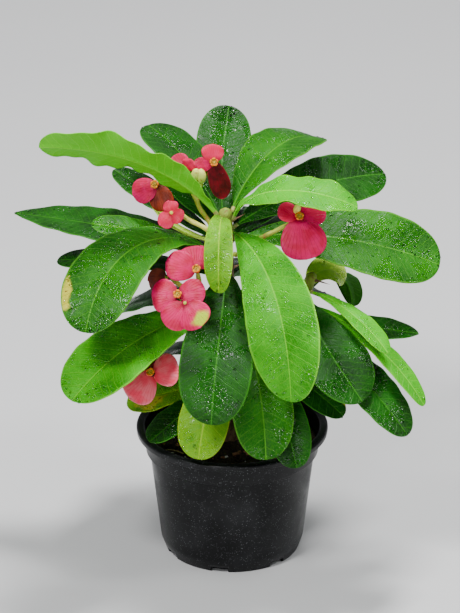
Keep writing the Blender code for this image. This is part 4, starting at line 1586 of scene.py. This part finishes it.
class WoodyStem:
    """The stem, its side branch and their thorns."""

    def __init__(self, size: ThornSize) -> None:
        """Takes the measures.

        Args:
            size: Measures of the thorns.
        """
        self.size = size

    def _axis_shell(self, axis: Axis) -> Shell:
        """One axis with knobbly bark and a green, domed growing tip."""
        route = smooth_route([np.array(point, float) for point in axis.points], 1.6)
        radii = np.array([axis.at(point[2])[2] for point in route])
        end = np.minimum(1.0, np.linspace(len(route) - 1, 0, len(route)) / 3.0)
        radii = radii * np.sqrt(np.clip(1 - (1 - end) ** 2, 0.04, 1))
        sides = 28
        turn = np.linspace(0, 2 * math.pi, sides, endpoint=False)
        knobs = np.empty((len(route), sides))
        for row, point in enumerate(route):
            for column, angle in enumerate(turn):
                spot = Vector((math.cos(angle) * 1.6, math.sin(angle) * 1.6, point[2] * 0.11))
                knobs[row, column] = 1 + 0.10 * noise.noise(spot) + 0.035 * noise.noise(spot * 4.1)
        shell = tube_shell(route, radii[:, None] * knobs, sides)
        woody = axis.points[-1][2] - self.size.green_top
        for index, face in enumerate(shell.faces):
            young = min(shell.points[corner][2] for corner in face) > woody
            shell.finishes[index] = StemSkin.GREEN_BARK if young else StemSkin.BARK
        return shell

    def _thorn_places(self, axis: Axis, keep_clear: np.ndarray, chance: random.Random) -> list:
        """Feet, directions and lengths of the thorns that have room on one axis."""
        line = np.array(axis.points, float)
        height = max(line[0, 2] + 6, POT.soil_top + 12)
        turn = chance.uniform(0, 360)
        found = []
        while height < line[-1, 2] - 3:
            length = chance.uniform(self.size.shortest, self.size.longest)
            foot, out = axis.surface_point(height, turn, -self.size.sink)
            aim = out + axis.at(height)[1] * chance.uniform(-0.1, 0.45)
            aim = aim / np.linalg.norm(aim)
            reach = foot + aim * np.linspace(self.size.sink, self.size.sink + length, 6)[:, None]
            nearest = np.linalg.norm(keep_clear[None] - reach[:, None], axis=2).min()
            if nearest > self.size.clearance:
                found.append((foot, aim, self.size.sink + length))
            height += self.size.spacing
            turn += self.size.turn
        return found

    def build(self, leaves: tuple[Leaf, ...], stalks: tuple[Stalk, ...]) -> bpy.types.Object:
        """Makes the stem.

        Args:
            leaves: The leaves, which the thorns keep clear of.
            stalks: The flower stalks, which they keep clear of too.

        Returns:
            The stem.
        """
        share = np.linspace(0, 0.5, 14)
        clouds = [leaf.surface(share, np.linspace(-1, 1, 5)).reshape(-1, 3) for leaf in leaves]
        clouds += [stalk_route(stalk, 0, 9) for stalk in stalks]
        keep_clear = np.vstack(clouds)
        chance = random.Random(self.size.seed)
        shells = [self._axis_shell(axis) for axis in AXES.values()]
        for axis in AXES.values():
            for foot, aim, length in self._thorn_places(axis, keep_clear, chance):
                reach = np.linspace(0, 1, 9)
                sag = np.array([0.0, 0.0, -0.5]) * (reach**2)[:, None]
                route = foot + aim * (reach * length)[:, None] + sag
                collar = 1 + 0.7 * np.exp(-((reach - 0.16) / 0.07) ** 2)
                radii = self.size.root * np.maximum(1 - reach, 0.03) ** 0.85 * collar
                shells.append(tube_shell(route, radii, 8, StemSkin.THORN))
        finishes = [STEM_FINISHES[skin.name.lower()].make(skin.name.lower()) for skin in StemSkin]
        stem = add_piece("thorny_stem", join(shells), finishes)
        enlist(stem, "bark", "stem")
        return stem


class Foliage:
    """All the leaves, and the water on them."""

    def __init__(self, size: BladeSize) -> None:
        """Takes the measures.

        Args:
            size: Measures that all leaves share.
        """
        self.size = size
        kinds = LEAF_FINISHES.items()
        self.uppers = {tone: finish.upper(f"{tone.value}_leaf") for tone, finish in kinds}
        self.lowers = {tone: finish.lower(f"{tone.value}_leaf_under") for tone, finish in kinds}
        self.petiole = STEM_FINISHES["petiole"].make("petiole")
        self.water: list[Shell] = []

    def _relief(self, leaf: Leaf, share: np.ndarray, across: np.ndarray, seed: random.Random) -> np.ndarray:
        """Height of the veins, puckers and the edge's ruffle over the plain blade."""
        width = leaf.half_width(share)[:, None]
        off = np.abs(width * across[None, :])
        along = (share * leaf.length)[:, None]
        run = along - off * self.size.vein_slant + seed.uniform(0, self.size.vein_spacing)
        pucker = np.abs(np.sin(math.pi * run / self.size.vein_spacing)) - 0.6
        room = np.clip(off / 4, 0, 1) * np.clip((width - off) / 4, 0, 1)
        edge = np.abs(across[None, :]) ** 3
        half = np.sign(across[None, :])
        beat = 2 * math.pi * (along / seed.uniform(15, 21) + 0.25 * half) + seed.uniform(0, 6)
        second = np.sin(2 * math.pi * along / seed.uniform(34, 47) + seed.uniform(0, 6)) * half
        fade = np.sin(math.pi * np.clip(share, 0, 1))[:, None] ** 0.7
        lively = (self.size.ruffle + 0.3 * leaf.wave) * min(1.0, leaf.width / 36)
        ruffle = lively * edge * (np.sin(beat) + 0.8 * second) * fade
        groove = -0.4 * np.exp(-((off / 1.5) ** 2))
        return self.size.pucker * pucker * room + ruffle + groove

    def build_leaf(self, leaf: Leaf) -> bpy.types.Object:
        """Makes one leaf.

        Args:
            leaf: Its row.

        Returns:
            The leaf.
        """
        size = self.size
        seed = random.Random(leaf.name)
        share = np.sin(np.linspace(0, math.pi / 2, size.rows)) ** 1.06
        even = np.linspace(-1, 1, size.columns)
        across = np.sin(np.linspace(-math.pi / 2, math.pi / 2, size.columns)) * 0.35 + even * 0.65
        points = leaf.surface(share, across)
        points = points + grid_normals(points) * self._relief(leaf, share, across, seed)[..., None]
        width = leaf.half_width(share)[:, None]
        off = width * across[None, :]
        middle = size.thickness * (1 - 0.3 * share[:, None])
        thick = middle + (size.edge_thickness - middle) * np.abs(across)[None, :] ** 1.5
        rib = size.midrib_rise * np.exp(-((off / 1.4) ** 2)) * (1 - 0.75 * share[:, None])
        stalk = np.clip(1 - share[:, None] / (size.petiole_share * 1.6), 0, 1)
        upper = thick / 2 + stalk * 0.7 * (1 - across[None, :] ** 2)
        blade = blade_map(off, share * leaf.length)
        border = np.broadcast_to(np.abs(across)[None, :], off.shape)
        marks = np.stack([self._spots(leaf, share, across), border], 2)
        skins = (LeafSkin.UPPER, LeafSkin.LOWER)
        shell = blade_shell(points, upper, thick / 2 + rib, blade, marks, skins)
        self._paint_petiole(shell, share, size.columns)
        name = f"{leaf.name}_blade"
        finishes = [self.uppers[leaf.tone], self.lowers[leaf.tone], self.petiole]
        piece = add_piece(name, shell, finishes, maps=True)
        slot = "young_leaf" if leaf.tone not in (Tone.DARK, Tone.MID) else "mature_leaf"
        enlist(piece, slot, leaf.name)
        self._wet(leaf, points, upper, seed)
        return piece

    def _paint_petiole(self, shell: Shell, share: np.ndarray, columns: int) -> None:
        """Gives the faces at the leaf's foot the colour of its little stalk."""
        limit = int(np.searchsorted(share, self.size.petiole_share * 0.8))
        count = len(share) * columns
        for index, face in enumerate(shell.faces):
            if max(corner % count for corner in face) // columns < limit:
                shell.finishes[index] = LeafSkin.PETIOLE

    def _spots(self, leaf: Leaf, share: np.ndarray, across: np.ndarray) -> np.ndarray:
        """Strength of the yellow patches at each point of a leaf."""
        painted = np.zeros((len(share), len(across)))
        for where, side, spread in leaf.spots:
            far = ((share - where) / spread)[:, None] ** 2 + ((across - side) / (spread * 2.6))[None, :] ** 2
            painted = np.maximum(painted, np.exp(-far))
        return painted * 0.62

    def _wet(self, leaf: Leaf, points: np.ndarray, upper: np.ndarray, seed: random.Random) -> None:
        """Puts drops of water on the upper face of a leaf, fewer where it is steep."""
        normals = grid_normals(points)
        rows, columns = points.shape[:2]
        count = int(leaf.length * leaf.width * 0.011 * leaf.dew)
        for _ in range(count):
            row = seed.uniform(0.1, 0.97) * (rows - 2)
            column = seed.uniform(0.06, 0.94) * (columns - 2)
            top, left = int(row), int(column)
            down, right = row - top, column - left
            corner = (
                points[top, left] * (1 - down) * (1 - right)
                + points[top + 1, left] * down * (1 - right)
                + points[top, left + 1] * (1 - down) * right
                + points[top + 1, left + 1] * down * right
            )
            normal = normals[top, left]
            if normal[2] < 0.05 and seed.random() < 0.6:
                continue
            radius = 0.3 + 1.0 * seed.random() ** 3.6
            place = corner + normal * (upper[top, left] - 0.08)
            self.water.append(self._drop(place, normal, radius, seed.uniform(0.42, 0.62)))

    def _drop(self, place: np.ndarray, normal: np.ndarray, radius: float, height: float) -> Shell:
        """One drop of water as a low dome."""
        sides = 10
        profile = np.array([(1.0, 0.0), (0.82, 0.5), (0.45, 0.87)])
        turn = np.linspace(0, 2 * math.pi, sides, endpoint=False)
        rings = np.stack(
            [
                profile[:, :1] * np.cos(turn)[None, :],
                profile[:, :1] * np.sin(turn)[None, :],
                np.repeat(profile[:, 1:], sides, axis=1) * height,
            ],
            2,
        ).reshape(-1, 3)
        points = np.vstack([rings, [(0, 0, height)], [(0, 0, -0.05)]]) * radius
        faces = grid_faces(3, sides, closed=True, flip=True)
        last = 2 * sides
        for side in range(sides):
            beyond = (side + 1) % sides
            faces.append((last + side, last + beyond, 3 * sides))
            faces.append((beyond, side, 3 * sides + 1))
        first = np.cross(normal, (0.31, 0.87, 0.38))
        first = first / np.linalg.norm(first)
        zero = np.zeros((len(points), 2))
        shell = Shell(points, faces, [0] * len(faces), zero, zero)
        return moved(shell, first, np.cross(normal, first), normal, place)

    def build(self, leaves: tuple[Leaf, ...]) -> None:
        """Makes all leaves and the drops on them.

        Args:
            leaves: The rows of the leaves.
        """
        for leaf in leaves:
            self.build_leaf(leaf)
        drops = add_piece("water_drops", join(self.water), [WaterFinish().make("water")])
        enlist(drops, None)


def bloom_named(name: str) -> Bloom:
    """Finds a flower.

    Args:
        name: Its name.

    Returns:
        Its row.
    """
    return next(bloom for bloom in BLOOMS if bloom.name == name)


def stalk_route(stalk: Stalk, index: int, step: float) -> np.ndarray:
    """Smooth route of one run of a flower stalk.

    Args:
        stalk: The stalk.
        index: Which run.
        step: About how far apart its points are.

    Returns:
        Points from the stem, or from the run that it leaves, to the flower.
    """
    run = stalk.runs[index]
    bloom = bloom_named(run.bloom)
    facing = bloom.frame()[2]
    corners = [np.array(point, float) for point in run.corners]
    if index == 0:
        clearance = BLADE.foot_gap + BRACT.foot_clearance
        foot, out = AXES[stalk.stem].surface_point(stalk.height, stalk.azimuth, clearance)
        corners = [foot, foot + out * 4, *corners]
    middle = np.array(bloom.centre, float)
    curve = smooth_route([*corners, middle - facing * BRACT.neck], step)
    return np.vstack([curve, middle + facing * BRACT.tip_stand])


class Flowers:
    """The flower stalks, their cups and the coloured bracts."""

    def __init__(self, size: BractSize) -> None:
        """Takes the measures.

        Args:
            size: Measures that stalks, cups and bracts share.
        """
        self.size = size
        self.petals = {tone: finish.make(f"{tone.value}_bract") for tone, finish in BRACT_FINISHES.items()}
        names = [skin.name.lower() for skin in FlowerSkin]
        self.skins = [STEM_FINISHES[name].make(f"flower_{name}") for name in names]

    def _cup(self, bloom: Bloom, seed: random.Random) -> list[Shell]:
        """The little cup in a flower: its wall, five nectar glands round it and the stamens in it."""
        size = self.size
        wall = lathe_shell(
            rounded(
                [
                    (0.0, 0.0, 0.0),
                    (size.tip_radius * 1.1, 0.0, 0.3),
                    (size.cup_radius * 0.8, size.cup_height - 1.2, 0.6),
                    (size.cup_radius * 0.78, size.cup_height - 0.5, 0.2),
                    (size.cup_radius * 0.5, size.cup_height - 1.3, 0.4),
                    (0.0, size.cup_height - 1.7, 0.0),
                ],
                4,
            ),
            24,
            FlowerSkin.CUP,
        )
        shells = [wall]
        for index in range(5):
            turn = 2 * math.pi * index / 5 + 0.3
            span = np.linspace(turn - 0.56, turn + 0.56, 9)
            route = np.stack([np.cos(span), np.sin(span), np.zeros(9)], 1) * size.cup_radius * 0.74
            route[:, 2] = size.cup_height - 0.55
            swell = 0.68 * np.sqrt(np.clip(1 - np.linspace(-0.97, 0.97, 9) ** 2, 0, 1)) + 0.08
            shells.append(tube_shell(route, swell, 10, FlowerSkin.GLAND))
        for _ in range(7):
            turn = seed.uniform(0, 2 * math.pi)
            reach = seed.uniform(0.2, 1.2)
            foot = np.array([reach * math.cos(turn), reach * math.sin(turn), size.cup_height - 1.8])
            tip = foot * np.array([1.25, 1.25, 1.0]) + np.array([0, 0, seed.uniform(1.0, 1.9)])
            route = foot + (tip - foot) * np.linspace(0, 1, 5)[:, None]
            shells.append(tube_shell(route, np.array([0.2, 0.18, 0.22, 0.42, 0.3]), 6, FlowerSkin.POLLEN))
        right, up, facing = bloom.frame()
        place = np.array(bloom.centre, float) + facing * size.cup_seat
        return [moved(shell, right, up, facing, place) for shell in shells]

    def build_stalk(self, stalk: Stalk) -> bpy.types.Object:
        """Makes one flower stalk with its cups and buds.

        Args:
            stalk: Its row.

        Returns:
            The stalk.
        """
        size = self.size
        seed = random.Random(stalk.name)
        shells = []
        pale = stalk.name == "left_flower_stalk"
        skin = FlowerSkin.CREAM_STALK if pale else FlowerSkin.STALK
        for index, run in enumerate(stalk.runs):
            bloom = bloom_named(run.bloom)
            route = stalk_route(stalk, index, 1.6)
            left = np.linalg.norm(route - route[-1], axis=1)
            thin = np.clip((left - size.neck - size.tip_stand) / 2.5, 0, 1)
            radii = size.tip_radius + (size.stalk_radius - size.tip_radius) * thin
            radii = radii * (1 + 0.06 * np.sin(np.arange(len(route)) * 0.9 + seed.uniform(0, 6)))
            shells.append(tube_shell(route, radii, 14, skin))
            if bloom.cup:
                shells += self._cup(bloom, seed)
        for place, length in stalk.buds:
            shells.append(self._bud(np.array(place, float), length, seed))
        piece = add_piece(f"{stalk.name}_run", join(shells), self.skins)
        enlist(piece, "flower_stalk", stalk.name)
        return piece

    def _bud(self, place: np.ndarray, length: float, seed: random.Random) -> Shell:
        """A closed bud, egg-shaped, that stands on its stalk."""
        reach = np.linspace(0, 1, 12)
        lean = np.array([seed.uniform(-0.35, 0.35), seed.uniform(-0.4, 0.1), 1.0])
        route = place + lean / np.linalg.norm(lean) * (reach * length)[:, None]
        radii = length * 0.3 * np.sqrt(np.clip(np.sin(math.pi * np.clip(reach * 0.94 + 0.04, 0, 1)), 0.01, 1))
        return tube_shell(route, radii, 12, FlowerSkin.CREAM_STALK)

    def build_bloom(self, bloom: Bloom) -> bpy.types.Object:
        """Makes the bracts of one flower.

        Args:
            bloom: Its row.

        Returns:
            The bracts.
        """
        size = self.size
        seed = random.Random(bloom.name)
        tones = sorted({bract.tone for bract in bloom.bracts}, key=lambda tone: tone.value)
        shells = []
        share = np.sin(np.linspace(0, math.pi / 2, size.rows)) ** 1.1
        across = np.linspace(-1, 1, size.columns)
        for bract in bloom.bracts:
            points = bloom.bract_surface(bract, share, across)
            width = bract_half_width(bract, share)[:, None]
            off = width * across[None, :]
            reach = share[:, None]
            half = np.sign(across[None, :])
            beat = np.sin(reach * seed.uniform(7, 11) + seed.uniform(0, 6) + 1.4 * half)
            edge = np.abs(across[None, :]) ** 2 * reach
            crease = -0.35 * np.exp(-((off / 1.2) ** 2)) * (1 - reach)
            swell = 0.5 * np.sin(reach * 5 + across[None, :] * 3 + seed.uniform(0, 6)) * reach
            points = points + grid_normals(points) * (0.55 * beat * edge + crease + 0.5 * swell)[..., None]
            thick = np.full(off.shape, size.thickness / 2)
            blade = blade_map(off, share * bract.length)
            border = np.maximum(np.abs(across)[None, :] ** 2, reach**3)
            far = ((reach - 0.85) / 0.3) ** 2 + ((across[None, :] - 0.25) / 0.55) ** 2
            marks = np.stack([bract.patch * np.exp(-far), border], 2)
            number = tones.index(bract.tone)
            shells.append(blade_shell(points, thick, thick, blade, marks, (number, number)))
        waist = size.hub_radius * 0.6
        hub = lathe_shell(
            [(0.0, -0.6), (waist, -0.6), (size.hub_radius * 0.75, 0.0), (waist, 0.6), (0.0, 0.6)], 18
        )
        right, up, facing = bloom.frame()
        shells.append(moved(hub, right, up, facing, np.array(bloom.centre, float)))
        finishes = [self.petals[tone] for tone in tones]
        piece = add_piece(f"{bloom.name}_petals", join(shells), finishes, maps=True)
        enlist(piece, "bract", bloom.name)
        return piece

    def build(self, stalks: tuple[Stalk, ...], blooms: tuple[Bloom, ...]) -> None:
        """Makes all stalks and flowers.

        Args:
            stalks: The rows of the stalks.
            blooms: The rows of the flowers.
        """
        for stalk in stalks:
            self.build_stalk(stalk)
        for bloom in blooms:
            self.build_bloom(bloom)


@dataclass(frozen=True)
class Lamp:
    """One soft lamp: where it stands, what it looks at, its size and its power."""

    name: str
    place: Point
    target: Point
    size: float
    power: float


LAMPS = (
    Lamp("overhead", (0.3, 0.35, 2.2), (0.0, 0.0, 0.2), 0.42, 62.0),
    Lamp("window", (-0.9, -1.3, 2.2), (0.0, 0.0, 0.18), 0.42, 54.0),
    Lamp("right", (1.5, -0.5, 1.8), (0.0, 0.0, 0.2), 0.3, 15.0),
    Lamp("front", (-0.7, -2.2, 0.75), (0.0, 0.0, 0.16), 0.8, 17.0),
)


@dataclass(frozen=True)
class CameraSetting:
    """Where the camera stands, how far it tips up from straight down, and its lens."""

    place: Point = (-0.0016, -2.6877, 1.4325)
    tilt: float = 65.2
    lens: float = 241.6
    sensor: float = 36.0
    near: float = 0.1
    far: float = 30.0


class Studio:
    """The plain floor, the soft light and the camera."""

    def __init__(self, lamps: tuple[Lamp, ...]) -> None:
        """Takes the lamps.

        Args:
            lamps: Their rows.
        """
        self.lamps = lamps

    def build_floor(self) -> bpy.types.Object:
        """Lays the plain pale floor.

        Returns:
            The floor.
        """
        mesh = bpy.data.meshes.new("floor")
        reach = 8.0
        corners = [(-reach, -reach, 0), (reach, -reach, 0), (reach, reach, 0), (-reach, reach, 0)]
        mesh.from_pydata(corners, [], [(0, 1, 2, 3)])
        floor = bpy.data.objects.new("floor", mesh)
        bpy.context.scene.collection.objects.link(floor)
        floor.location.z = -0.0001
        graph = NodeGraph("pale_floor")
        colour = graph.mix(graph.cloud(420.0, 2.0), (0.55, 0.55, 0.555), (0.60, 0.60, 0.60))
        mesh.materials.append(graph.finish(colour, 0.85, specular=0.2))
        return floor

    def build_lamps(self) -> None:
        """Hangs the lamps and sets the light of the room."""
        for row in self.lamps:
            lamp = bpy.data.lights.new(row.name, "AREA")
            lamp.size = row.size
            lamp.energy = row.power
            item = bpy.data.objects.new(row.name, lamp)
            bpy.context.scene.collection.objects.link(item)
            item.location = row.place
            item.rotation_euler = (Vector(row.target) - Vector(row.place)).to_track_quat("-Z", "Y").to_euler()
        world = bpy.data.worlds.new("soft_room")
        world.use_nodes = True
        shade = world.node_tree.nodes["Background"]
        shade.inputs["Color"].default_value = (0.92, 0.95, 1.0, 1.0)
        shade.inputs["Strength"].default_value = 0.3
        bpy.context.scene.world = world

    def build_camera(self) -> None:
        """Sets the camera where the photograph was taken from: far off, looking a little down."""
        setting = CameraSetting()
        camera = bpy.data.cameras.new("camera")
        camera.sensor_width = setting.sensor
        camera.lens = setting.lens
        camera.clip_start = setting.near
        camera.clip_end = setting.far
        item = bpy.data.objects.new("camera", camera)
        bpy.context.scene.collection.objects.link(item)
        item.location = setting.place
        item.rotation_euler = (math.radians(setting.tilt), 0.0, 0.0)
        bpy.context.scene.camera = item

    def build(self) -> None:
        """Makes all of it."""
        self.build_floor()
        self.build_lamps()
        self.build_camera()


def main() -> None:
    """Loads the frame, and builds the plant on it."""
    logging.basicConfig(level=logging.INFO, format="%(message)s")
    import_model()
    Studio(LAMPS).build()
    PotAndSoil(POT).build()
    WoodyStem(THORN).build(LEAVES, STALKS)
    Foliage(BLADE).build(LEAVES)
    Flowers(BRACT).build(STALKS, BLOOMS)


if __name__ == "__main__":
    main()
